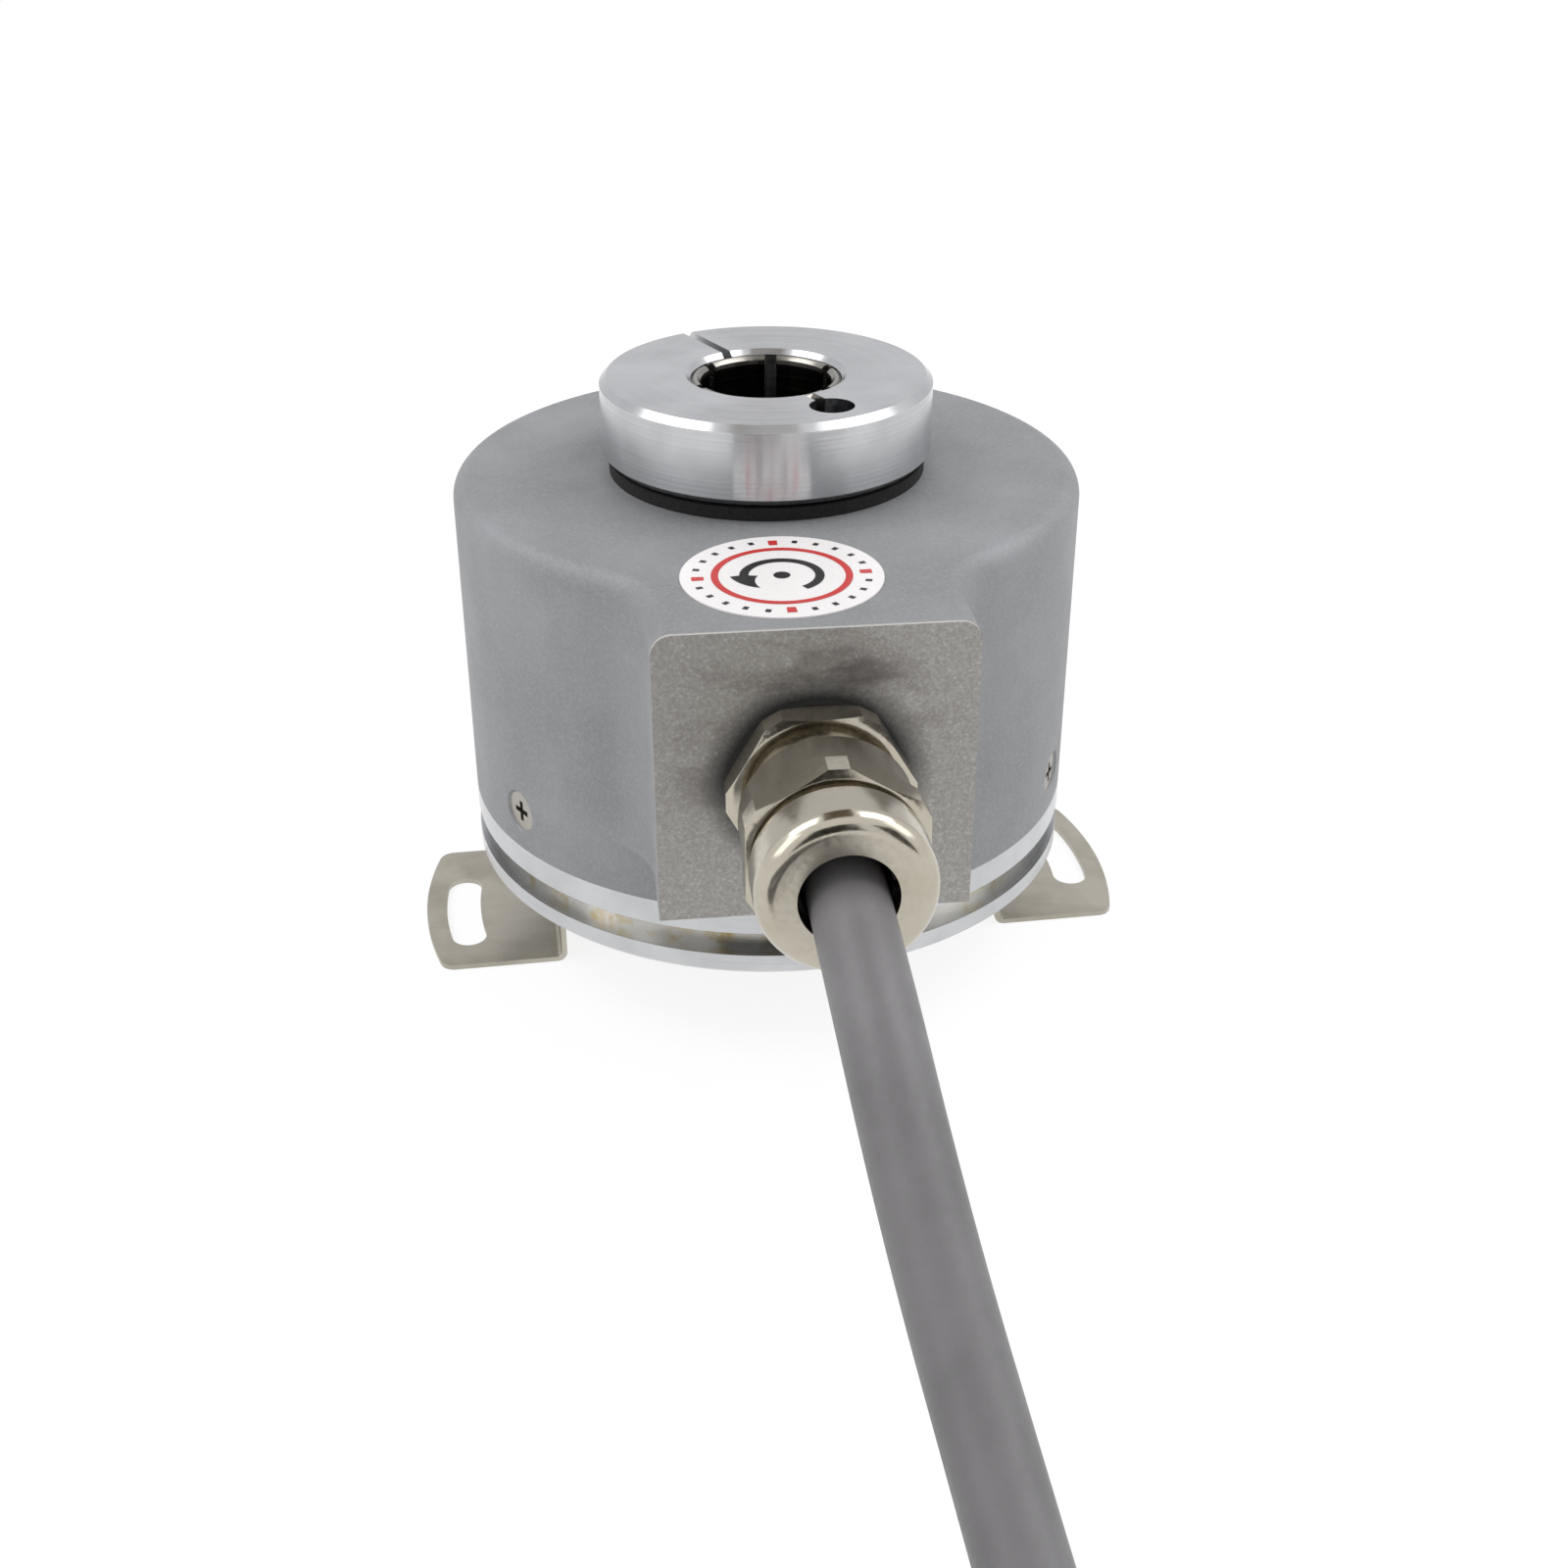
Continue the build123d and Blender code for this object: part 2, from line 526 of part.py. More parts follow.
for place, level in BEARING_LEVELS.items():
    middle = level + BEARING_WIDTH / 2

    with BuildPart() as outer_race:
        with BuildSketch(Plane.XZ):
            with Locations(((outer_land + BEARING_OUTER_RADIUS - PRESS_GAP) / 2, middle)):
                Rectangle(BEARING_OUTER_RADIUS - PRESS_GAP - outer_land, BEARING_WIDTH)
            with Locations((BALL_CIRCLE, middle)):
                Circle(race_radius, mode=Mode.SUBTRACT)
        revolve(axis=Axis.Z)

    with BuildPart() as inner_race:
        with BuildSketch(Plane.XZ):
            with Locations(((inner_land + SHAFT_RADIUS + PRESS_GAP) / 2, middle)):
                Rectangle(inner_land - SHAFT_RADIUS - PRESS_GAP, BEARING_WIDTH)
            with Locations((BALL_CIRCLE, middle)):
                Circle(race_radius, mode=Mode.SUBTRACT)
        revolve(axis=Axis.Z)

    with BuildPart() as balls:
        with Locations((0, 0, middle)):
            with PolarLocations(BALL_CIRCLE, BALLS):
                Sphere(BALL_RADIUS)

    with BuildPart() as cage:
        with BuildSketch(Plane.XY.offset(middle)):
            Circle(BALL_CIRCLE + CAGE_WALL / 2)
            Circle(BALL_CIRCLE - CAGE_WALL / 2, mode=Mode.SUBTRACT)
        extrude(amount=CAGE_HEIGHT)
        with Locations((0, 0, middle)):
            with PolarLocations(BALL_CIRCLE, BALLS):
                Sphere(race_radius, mode=Mode.SUBTRACT)

    with BuildPart() as shields:
        for bottom in (level + SHIELD_INSET, level + BEARING_WIDTH - SHIELD_INSET - SHIELD_THICKNESS):
            with BuildSketch(Plane.XY.offset(bottom)):
                Circle(outer_land - PRESS_GAP)
                Circle(inner_land + SHIELD_GAP, mode=Mode.SUBTRACT)
            extrude(amount=SHIELD_THICKNESS)

    for name, piece in (
        ("outer_race", outer_race),
        ("inner_race", inner_race),
        ("balls", balls),
        ("cage", cage),
        ("shields", shields),
    ):
        piece.part.label = f"{place}_bearing_{name}"
        export_step(piece.part, f"parts/{place}_bearing_{name}.step")

# Retaining ring on the shaft, open at one side
with BuildPart() as retaining_ring:
    with BuildSketch(Plane.XY.offset(RETAINING_RING_BOTTOM)):
        ring_bore = SHAFT_RADIUS - RETAINING_RING_GROOVE + PRESS_GAP
        Circle(ring_bore + RETAINING_RING_WALL)
        Circle(ring_bore, mode=Mode.SUBTRACT)
        opening = ring_bore + 2 * RETAINING_RING_WALL
        half_gap = radians(RETAINING_RING_GAP_ANGLE / 2)
        with BuildLine():
            Polyline(
                (0, 0),
                (opening * cos(half_gap), -opening * sin(half_gap)),
                (opening * cos(half_gap), opening * sin(half_gap)),
                close=True,
            )
        make_face(mode=Mode.SUBTRACT)
    extrude(amount=RETAINING_RING_THICKNESS)

retaining_ring.part.label = "retaining_ring"
export_step(retaining_ring.part, "parts/retaining_ring.step")

# Code disc between its hub and its clamping plate
with BuildPart() as disc_hub:
    with BuildSketch(Plane.XY.offset(DISC_HUB_BOTTOM)):
        Circle(DISC_HUB_NECK_RADIUS + DISC_SCREW_HEAD_RADIUS)
    extrude(amount=DISC_HUB_NECK)
    with BuildSketch(Plane.XY.offset(DISC_HUB_BOTTOM + DISC_HUB_NECK)):
        Circle(DISC_HUB_RADIUS)
    extrude(amount=DISC_HUB_FLANGE)
    with BuildSketch(Plane.XY.offset(DISC_HUB_BOTTOM)):
        Circle(SHAFT_RADIUS + PRESS_GAP)
        with PolarLocations(DISC_SCREW_CIRCLE, DISC_SCREWS):
            Circle(DISC_SCREW_RADIUS)
    extrude(amount=DISC_HUB_NECK + DISC_HUB_FLANGE, mode=Mode.SUBTRACT)

disc_hub.part.label = "disc_hub"
export_step(disc_hub.part, "parts/disc_hub.step")

window_width = pi * TRACK_RADIUS / TRACK_WINDOWS
with BuildPart() as code_disc:
    with BuildSketch(Plane.XY.offset(DISC_BOTTOM)):
        Circle(DISC_RADIUS)
        Circle(SHAFT_RADIUS + PRESS_GAP, mode=Mode.SUBTRACT)
        with PolarLocations(DISC_SCREW_CIRCLE, DISC_SCREWS):
            Circle(DISC_SCREW_RADIUS, mode=Mode.SUBTRACT)
        with PolarLocations(TRACK_RADIUS, TRACK_WINDOWS):
            Rectangle(TRACK_WIDTH, window_width, mode=Mode.SUBTRACT)
        with PolarLocations(INDEX_TRACK_RADIUS, 1):
            Rectangle(TRACK_WIDTH / 2, window_width, mode=Mode.SUBTRACT)
    extrude(amount=DISC_THICKNESS)

code_disc.part.label = "code_disc"
export_step(code_disc.part, "parts/code_disc.step")

with BuildPart() as disc_clamp_plate:
    with BuildSketch(Plane.XY.offset(DISC_TOP)):
        Circle(DISC_HUB_RADIUS)
        Circle(SHAFT_RADIUS + PRESS_GAP, mode=Mode.SUBTRACT)
        with PolarLocations(DISC_SCREW_CIRCLE, DISC_SCREWS):
            Circle(DISC_SCREW_RADIUS, mode=Mode.SUBTRACT)
    extrude(amount=DISC_CLAMP_THICKNESS)

disc_clamp_plate.part.label = "disc_clamp_plate"
export_step(disc_clamp_plate.part, "parts/disc_clamp_plate.step")

disc_stack = DISC_TOP + DISC_CLAMP_THICKNESS - DISC_HUB_BOTTOM
with BuildPart() as disc_screws:
    with BuildSketch(Plane.XY.offset(DISC_TOP + DISC_CLAMP_THICKNESS)):
        with PolarLocations(DISC_SCREW_CIRCLE, DISC_SCREWS):
            Circle(DISC_SCREW_HEAD_RADIUS)
    extrude(amount=DISC_SCREW_HEAD_HEIGHT)
    with BuildSketch(Plane.XY.offset(DISC_TOP + DISC_CLAMP_THICKNESS)):
        with PolarLocations(DISC_SCREW_CIRCLE, DISC_SCREWS):
            Circle(DISC_SCREW_RADIUS - PRESS_GAP)
    extrude(amount=-disc_stack)

disc_screws.part.label = "disc_screws"
export_step(disc_screws.part, "parts/disc_screws.step")

# Light source under the disc, mask and receiver above it
led_top = DISC_BOTTOM - LED_TO_DISC_GAP
post_top = led_top - LED_BODY
optics = Vector(cos(radians(OPTICS_AZIMUTH)), sin(radians(OPTICS_AZIMUTH)), 0)
post_centre = optics * (hub_radius + SEAT_GAP + LED_POST_DEPTH / 2)
track_point = optics * TRACK_RADIUS

with BuildPart() as led_holder:
    with BuildSketch(Plane(origin=post_centre + Vector(0, 0, FLANGE_FLOOR), x_dir=optics)):
        Rectangle(LED_POST_DEPTH, LED_POST_WIDTH)
    extrude(amount=post_top - FLANGE_FLOOR)
    fillet(led_holder.edges().filter_by(Axis.Z), radius=1.0)

led_holder.part.label = "led_holder"
export_step(led_holder.part, "parts/led_holder.step")

with BuildPart() as light_source:
    with BuildSketch(Plane(origin=track_point + Vector(0, 0, post_top))):
        Circle(LED_RADIUS)
    extrude(amount=LED_BODY)
    fillet(light_source.faces().sort_by(Axis.Z)[-1].edges(), radius=LED_RADIUS * 0.6)

light_source.part.label = "light_source"
export_step(light_source.part, "parts/light_source.step")

mask_bottom = DISC_TOP + MASK_TO_DISC_GAP
receiver_bottom = mask_bottom + MASK_THICKNESS
with BuildPart() as mask_plate:
    with BuildSketch(Plane(origin=track_point + Vector(0, 0, mask_bottom), x_dir=optics)):
        Rectangle(RECEIVER_DEPTH - 1, MASK_SIZE)
    extrude(amount=MASK_THICKNESS)

mask_plate.part.label = "mask_plate"
export_step(mask_plate.part, "parts/mask_plate.step")

with BuildPart() as receiver:
    with BuildSketch(Plane(origin=track_point + Vector(0, 0, receiver_bottom), x_dir=optics)):
        Rectangle(RECEIVER_DEPTH, RECEIVER_LENGTH)
    extrude(amount=BOARD_UNDERSIDE - receiver_bottom)

receiver.part.label = "receiver"
export_step(receiver.part, "parts/receiver.step")

# Circuit board, its pillars, screws and parts
with BuildPart() as circuit_board:
    with BuildSketch(Plane.XY.offset(BOARD_UNDERSIDE)):
        Circle(BOARD_RADIUS)
        Circle(BOARD_HOLE_RADIUS, mode=Mode.SUBTRACT)
        with PolarLocations(PILLAR_CIRCLE, PILLARS, start_angle=PILLAR_AZIMUTH):
            Circle(BOARD_SCREW_RADIUS + PRESS_GAP, mode=Mode.SUBTRACT)
    extrude(amount=BOARD_THICKNESS)

circuit_board.part.label = "circuit_board"
export_step(circuit_board.part, "parts/circuit_board.step")

with BuildPart() as board_pillars:
    with BuildSketch(Plane.XY.offset(FLANGE_FLOOR)):
        with PolarLocations(PILLAR_CIRCLE, PILLARS, start_angle=PILLAR_AZIMUTH):
            RegularPolygon(PILLAR_RADIUS, 6)
    extrude(amount=BOARD_UNDERSIDE - FLANGE_FLOOR)
    with BuildSketch(Plane.XY.offset(BOARD_UNDERSIDE)):
        with PolarLocations(PILLAR_CIRCLE, PILLARS, start_angle=PILLAR_AZIMUTH):
            Circle(BOARD_SCREW_RADIUS + PRESS_GAP)
    extrude(amount=BOARD_THICKNESS - BOARD_SCREW_LENGTH, mode=Mode.SUBTRACT)

board_pillars.part.label = "board_pillars"
export_step(board_pillars.part, "parts/board_pillars.step")

board_top = BOARD_UNDERSIDE + BOARD_THICKNESS
with BuildPart() as board_screws:
    with BuildSketch(Plane.XY.offset(board_top)):
        with PolarLocations(PILLAR_CIRCLE, PILLARS, start_angle=PILLAR_AZIMUTH):
            Circle(BOARD_SCREW_HEAD_RADIUS)
    extrude(amount=BOARD_SCREW_HEAD_HEIGHT)
    with BuildSketch(Plane.XY.offset(board_top)):
        with PolarLocations(PILLAR_CIRCLE, PILLARS, start_angle=PILLAR_AZIMUTH):
            Circle(BOARD_SCREW_RADIUS)
    extrude(amount=-BOARD_SCREW_LENGTH + SEAT_GAP)

board_screws.part.label = "board_screws"
export_step(board_screws.part, "parts/board_screws.step")

board_layout = ((180, SIGNAL_CHIP), (0, DRIVER_CHIP), (240, CAPACITOR), (300, CAPACITOR))
with BuildPart() as board_parts:
    for azimuth, (length, width, height) in board_layout:
        with BuildSketch(Plane.XY.offset(BOARD_UNDERSIDE)):
            with PolarLocations((BOARD_HOLE_RADIUS + BOARD_RADIUS) / 2, 1, start_angle=azimuth):
                Rectangle(width, length)
        extrude(amount=-height)

board_parts.part.label = "board_parts"
export_step(board_parts.part, "parts/board_parts.step")

connector_centre = BOARD_RADIUS - CONNECTOR[1] / 2
with BuildPart() as board_connector:
    with BuildSketch(Plane.XY.offset(BOARD_UNDERSIDE)):
        with Locations((0, -connector_centre)):
            Rectangle(CONNECTOR[0], CONNECTOR[1])
    extrude(amount=-CONNECTOR[2])
    offset(amount=-CONNECTOR_WALL, openings=board_connector.faces().sort_by(Axis.Z)[0], mode=Mode.REPLACE)

board_connector.part.label = "board_connector"
export_step(board_connector.part, "parts/board_connector.step")

# Cable gland: washer, body, rubber seal, clamping claw and domed nut
gland_plane = Plane(origin=(0, -BLOCK_FACE, GLAND_LEVEL), x_dir=(1, 0, 0), z_dir=(0, -1, 0))
gland_section = Plane(origin=gland_plane.origin, x_dir=(0, 0, 1), z_dir=(1, 0, 0))
gland_axis = Axis(gland_plane.origin, gland_plane.z_dir)
gland_corner = GLAND_ACROSS_FLATS / sqrt(3) - GLAND_CORNER_CUT / 2 + SEAT_GAP
gland_hex_end = GLAND_WASHER_THICKNESS + GLAND_HEX_HEIGHT
gland_neck_end = gland_hex_end + GLAND_NECK_LENGTH
gland_nut_hex_end = GLAND_NUT_START + GLAND_NUT_HEX
gland_mouth_start = GLAND_LENGTH - GLAND_MOUTH_WALL


def hexagon_with_broken_corners(start, end, rotation, collar):
    """Hexagonal prism about the gland's axis, turned round behind, with narrow flats across its corners."""
    with BuildPart() as prism:
        with BuildSketch(gland_plane.offset(start)) as outline:
            RegularPolygon(GLAND_ACROSS_FLATS / 2, 6, major_radius=False, rotation=rotation)
            chamfer(outline.vertices(), length=GLAND_CORNER_CUT)
        extrude(amount=end - start)
        with BuildSketch(gland_section):
            with BuildLine():
                collar_radius = GLAND_ACROSS_FLATS / 2 - SEAT_GAP
                Polyline(
                    (0, start),
                    (collar_radius, start),
                    (collar_radius, start + collar),
                    (gland_corner, start + collar + GLAND_CORNER_BREAK),
                    (gland_corner, end - GLAND_CORNER_BREAK),
                    (collar_radius, end),
                    (0, end),
                    close=True,
                )
            make_face()
        revolve(axis=gland_axis, mode=Mode.INTERSECT)
    return prism.part


with BuildPart() as gland_washer:
    with BuildSketch(gland_plane):
        Circle(GLAND_WASHER_RADIUS)
        Circle(GLAND_THREAD_RADIUS, mode=Mode.SUBTRACT)
    extrude(amount=GLAND_WASHER_THICKNESS)

gland_washer.part.label = "gland_washer"
export_step(gland_washer.part, "parts/gland_washer.step")

body_hexagon = hexagon_with_broken_corners(GLAND_WASHER_THICKNESS, gland_hex_end, 0, GLAND_HEX_COLLAR)
with BuildPart() as gland_body:
    add(body_hexagon)
    with BuildSketch(gland_plane.offset(-GLAND_THREAD_LENGTH)):
        Circle(GLAND_THREAD_RADIUS - PRESS_GAP)
    extrude(amount=GLAND_THREAD_LENGTH + GLAND_WASHER_THICKNESS)
    with BuildSketch(gland_plane.offset(gland_hex_end)):
        Circle(GLAND_NECK_RADIUS)
    extrude(amount=GLAND_NECK_LENGTH)
    with BuildSketch(gland_plane.offset(-GLAND_THREAD_LENGTH)):
        Circle(GLAND_BORE_RADIUS)
    extrude(amount=GLAND_THREAD_LENGTH + gland_neck_end, mode=Mode.SUBTRACT)
    with BuildSketch(gland_plane.offset(gland_hex_end + 1)):
        Circle(GLAND_SEAL_SEAT_RADIUS)
    extrude(amount=GLAND_NECK_LENGTH, mode=Mode.SUBTRACT)

gland_body.part.label = "gland_body"
export_step(gland_body.part, "parts/gland_body.step")

with BuildPart() as gland_seal:
    with BuildSketch(gland_plane.offset(gland_hex_end + 1)):
        Circle(GLAND_SEAL_SEAT_RADIUS - PRESS_GAP)
        Circle(CABLE_RADIUS + PRESS_GAP, mode=Mode.SUBTRACT)
    extrude(amount=GLAND_SEAL_LENGTH)

gland_seal.part.label = "gland_seal"
export_step(gland_seal.part, "parts/gland_seal.step")

with BuildPart() as gland_claw:
    with BuildSketch(gland_plane.offset(gland_neck_end + SEAT_GAP)):
        Circle(GLAND_CHAMBER_RADIUS - SEAT_GAP)
        Circle(GLAND_CLAW_BORE_RADIUS, mode=Mode.SUBTRACT)
    extrude(amount=gland_mouth_start - gland_neck_end - 2 * SEAT_GAP)
    with BuildSketch(gland_plane.offset(gland_mouth_start)):
        with PolarLocations(GLAND_CHAMBER_RADIUS, GLAND_CLAW_SLITS):
            Rectangle(GLAND_CHAMBER_RADIUS, GLAND_CLAW_SLIT_WIDTH)
    extrude(amount=-(gland_mouth_start - gland_neck_end) * 2 / 3, mode=Mode.SUBTRACT)

gland_claw.part.label = "gland_claw"
export_step(gland_claw.part, "parts/gland_claw.step")

nut_hexagon = hexagon_with_broken_corners(GLAND_NUT_START, gland_nut_hex_end, 30, GLAND_NUT_COLLAR)
with BuildPart() as gland_nut:
    add(nut_hexagon)
    with BuildSketch(gland_plane.offset(gland_nut_hex_end)):
        Circle(GLAND_GROOVE_RADIUS)
    extrude(amount=GLAND_GROOVE_WIDTH)
    with BuildSketch(gland_plane.offset(gland_nut_hex_end + GLAND_GROOVE_WIDTH)):
        Circle(GLAND_DOME_RADIUS)
    extrude(amount=GLAND_LENGTH - gland_nut_hex_end - GLAND_GROOVE_WIDTH)
    fillet(gland_nut.faces().sort_by(Axis.Y)[0].edges(), radius=GLAND_DOME_ROUND)
    with BuildSketch(gland_plane.offset(GLAND_NUT_START)):
        Circle(GLAND_NECK_RADIUS + PRESS_GAP)
    extrude(amount=gland_neck_end + SEAT_GAP - GLAND_NUT_START, mode=Mode.SUBTRACT)
    with BuildSketch(gland_plane.offset(gland_neck_end)):
        Circle(GLAND_CHAMBER_RADIUS)
    extrude(amount=gland_mouth_start - gland_neck_end, mode=Mode.SUBTRACT)
    with BuildSketch(gland_plane.offset(gland_mouth_start)):
        Circle(GLAND_MOUTH_RADIUS)
    extrude(amount=GLAND_MOUTH_WALL, mode=Mode.SUBTRACT)

gland_nut.part.label = "gland_nut"
export_step(gland_nut.part, "parts/gland_nut.step")

# Label on the top of the cable block
with BuildPart() as label_disc:
    with BuildSketch(Plane.XY.offset(COVER_TOP)):
        with Locations(LABEL_CENTRE):
            Circle(LABEL_RADIUS)
    extrude(amount=LABEL_THICKNESS)

label_disc.part.label = "label_disc"
export_step(label_disc.part, "parts/label_disc.step")

# Stator coupling: a bent sheet with two slotted tabs and two ears under the flange
coupling_plan = Plane.XY.rotated((0, 0, COUPLING_TURN))
coupling_side = Plane(origin=(0, 0, 0), x_dir=coupling_plan.x_dir, z_dir=-coupling_plan.y_dir)
leg_middle = COUPLING_LEG - COUPLING_SHEET / 2
tab_middle = FLOOR_LEVEL + COUPLING_SHEET / 2

with BuildPart() as coupling_plate:
    with BuildSketch(coupling_side):
        with BuildLine():
            FilletPolyline(
                (-COUPLING_REACH, tab_middle),
                (-leg_middle, tab_middle),
                (-leg_middle, -COUPLING_SHEET / 2),
                (leg_middle, -COUPLING_SHEET / 2),
                (leg_middle, tab_middle),
                (COUPLING_REACH, tab_middle),
                radius=COUPLING_BEND + COUPLING_SHEET / 2,
            )
        trace(line_width=COUPLING_SHEET)
    extrude(amount=COUPLING_REACH, both=True)
    with BuildSketch(coupling_plan.offset(FLOOR_LEVEL - COUPLING_SHEET)) as coupling_outline:
        Circle(COUPLING_REACH)
        Rectangle(2 * COUPLING_REACH, COUPLING_WIDTH, mode=Mode.INTERSECT)
        fillet(coupling_outline.vertices(), radius=TAB_CORNER)
        SlotCenterToCenter(2 * COUPLING_SCREW_CIRCLE, COUPLING_EAR_WIDTH, rotation=90)
        Circle(COUPLING_HOLE_RADIUS, mode=Mode.SUBTRACT)
        with PolarLocations(COUPLING_SCREW_CIRCLE, 2, start_angle=90):
            Circle(COUPLING_SCREW_RADIUS + SEAT_GAP, mode=Mode.SUBTRACT)
        for side in (0, 180):
            slot_path = CenterArc((0, 0), SLOT_CIRCLE_RADIUS, side - SLOT_HALF_ANGLE, 2 * SLOT_HALF_ANGLE)
            SlotArc(slot_path, SLOT_WIDTH, mode=Mode.SUBTRACT)
    extrude(amount=COUPLING_OFFSET + 2 * COUPLING_SHEET, mode=Mode.INTERSECT)

coupling_plate.part.label = "coupling_plate"
export_step(coupling_plate.part, "parts/coupling_plate.step")

with BuildPart() as coupling_screws:
    with BuildSketch(coupling_plan.offset(-COUPLING_SHEET)):
        with PolarLocations(COUPLING_SCREW_CIRCLE, 2, start_angle=90):
            Circle(COUPLING_SCREW_HEAD_RADIUS)
    extrude(amount=-COUPLING_SCREW_HEAD_HEIGHT)
    fillet(coupling_screws.faces().group_by(Axis.Z)[0].edges(), radius=COUPLING_SCREW_HEAD_HEIGHT / 3)
    with BuildSketch(coupling_plan.offset(-COUPLING_SHEET)):
        with PolarLocations(COUPLING_SCREW_CIRCLE, 2, start_angle=90):
            Circle(COUPLING_SCREW_RADIUS - PRESS_GAP)
    extrude(amount=COUPLING_SCREW_LENGTH)
    with BuildSketch(coupling_plan.offset(-COUPLING_SHEET - COUPLING_SCREW_HEAD_HEIGHT)):
        with PolarLocations(COUPLING_SCREW_CIRCLE, 2, start_angle=90):
            RegularPolygon(COUPLING_SCREW_RADIUS, 6)
    extrude(amount=COUPLING_SCREW_HEAD_HEIGHT / 2, mode=Mode.SUBTRACT)

coupling_screws.part.label = "coupling_screws"
export_step(coupling_screws.part, "parts/coupling_screws.step")


def cable_bends(points):
    """Radius of each bend of a cable route: as large as its two runs allow."""
    radii = []
    for before, corner, after in zip(points, points[1:], points[2:]):
        run_in = Vector(corner) - Vector(before)
        run_out = Vector(after) - Vector(corner)
        half_turn = radians(run_in.get_angle(run_out) / 2)
        radii.append(0.45 * min(run_in.length, run_out.length) * cos(half_turn) / sin(half_turn))
    return radii


def cable_tube(points, radius):
    """Round cable along the route, with its bends and its length printed."""
    radii = cable_bends(points)
    with BuildPart() as tube:
        with BuildLine() as path:
            FilletPolyline(*points, radius=radii)
        start = Plane(origin=points[0], z_dir=Vector(points[1]) - Vector(points[0]))
        with BuildSketch(start):
            Circle(radius)
        sweep(path=path.wires()[0])
    length = path.wires()[0].length
    volume_share = tube.part.volume / (pi * radius**2 * length)
    bends = [round(bend, 1) for bend in radii]
    print("bends", bends, "length", round(length, 1), "volume", round(volume_share, 4))
    return tube.part


# Cable: the route from the gland down to the resting surface and into its coil
cable_floor = FLOOR_LEVEL + CABLE_RADIUS
coil_entry = COIL_CENTRE[0] + COIL_RADIUS + CABLE_RADIUS
CABLE_ROUTE = [
    (0.0, -37.1, GLAND_LEVEL),
    (0.0, -58.6, GLAND_LEVEL),
    (2.2, -76.5, 12.3),
    (5.1, -92.0, 1.8),
    (coil_entry, -111.0, cable_floor),
    (coil_entry + 0.2, -131.0, cable_floor),
]

cable = cable_tube(CABLE_ROUTE, CABLE_RADIUS)
cable.label = "cable"
export_step(cable, "parts/cable.step")

coil_width = 2 * CABLE_RADIUS * COIL_TURNS_WIDE
coil_height = 2 * CABLE_RADIUS * COIL_LAYERS
coil_axis = Axis((*COIL_CENTRE, 0), (0, 0, 1))
coil_section = Plane(origin=(*COIL_CENTRE, 0), x_dir=(1, 0, 0), z_dir=(0, -1, 0))
with BuildPart() as cable_coil:
    with BuildSketch(coil_section):
        with Locations((COIL_RADIUS, FLOOR_LEVEL + coil_height / 2)):
            RectangleRounded(coil_width, coil_height, COIL_ROUNDING)
    revolve(axis=coil_axis)

cable_coil.part.label = "cable_coil"
export_step(cable_coil.part, "parts/cable_coil.step")

# Free end of the cable on top of the coil: the tail, a sleeve and six cores
coil_top = FLOOR_LEVEL + coil_height
sleeve_arc = END_SLEEVE_LENGTH / COIL_RADIUS * 180 / pi
core_arc = CORE_LENGTH / COIL_RADIUS * 180 / pi


def coil_cut(azimuth):
    """Plane across the coil, its normal pointing the way the cable runs."""
    direction = Vector(cos(radians(azimuth)), sin(radians(azimuth)), 0)
    return Plane(origin=(*COIL_CENTRE, 0), x_dir=direction, z_dir=(direction.Y, -direction.X, 0))


with BuildPart() as cable_tail:
    with BuildSketch(coil_cut(END_SLEEVE_AZIMUTH + TAIL_ANGLE)):
        with Locations((COIL_RADIUS, coil_top + END_SLEEVE_RADIUS)):
            Circle(CABLE_RADIUS)
    revolve(axis=coil_axis, revolution_arc=-TAIL_ANGLE)

cable_tail.part.label = "cable_tail"
export_step(cable_tail.part, "parts/cable_tail.step")

with BuildPart() as cable_end_sleeve:
    with BuildSketch(coil_cut(END_SLEEVE_AZIMUTH)):
        with Locations((COIL_RADIUS, coil_top + END_SLEEVE_RADIUS)):
            Circle(END_SLEEVE_RADIUS)
    revolve(axis=coil_axis, revolution_arc=-sleeve_arc)

cable_end_sleeve.part.label = "cable_end_sleeve"
export_step(cable_end_sleeve.part, "parts/cable_end_sleeve.step")

with BuildPart() as cable_cores:
    for row, cores in enumerate(CORE_ROWS):
        level = coil_top + CORE_RADIUS + row * CORE_SPACING
        for core in range(cores):
            shift = (core - (cores - 1) / 2) * CORE_SPACING
            with BuildSketch(coil_cut(END_SLEEVE_AZIMUTH - sleeve_arc)):
                with Locations((COIL_RADIUS + shift, level)):
                    Circle(CORE_RADIUS)
            revolve(axis=coil_axis, revolution_arc=-core_arc)

cable_cores.part.label = "cable_cores"
export_step(cable_cores.part, "parts/cable_cores.step")

# Inside the cover: the plug in the connector and the leads running to the gland
plug_front = connector_centre + CONNECTOR[1] / 2 - CONNECTOR_WALL - SEAT_GAP
plug_bottom = GLAND_LEVEL - CORE_SPACING - CORE_RADIUS
with BuildPart() as lead_plug:
    with BuildSketch(Plane.XY.offset(BOARD_UNDERSIDE - CONNECTOR_WALL - SEAT_GAP)):
        with Locations((0, -connector_centre)):
            Rectangle(
                CONNECTOR[0] - 2 * (CONNECTOR_WALL + SEAT_GAP),
                CONNECTOR[1] - 2 * (CONNECTOR_WALL + SEAT_GAP),
            )
    extrude(amount=plug_bottom - BOARD_UNDERSIDE + CONNECTOR_WALL + SEAT_GAP)

lead_plug.part.label = "lead_plug"
export_step(lead_plug.part, "parts/lead_plug.step")

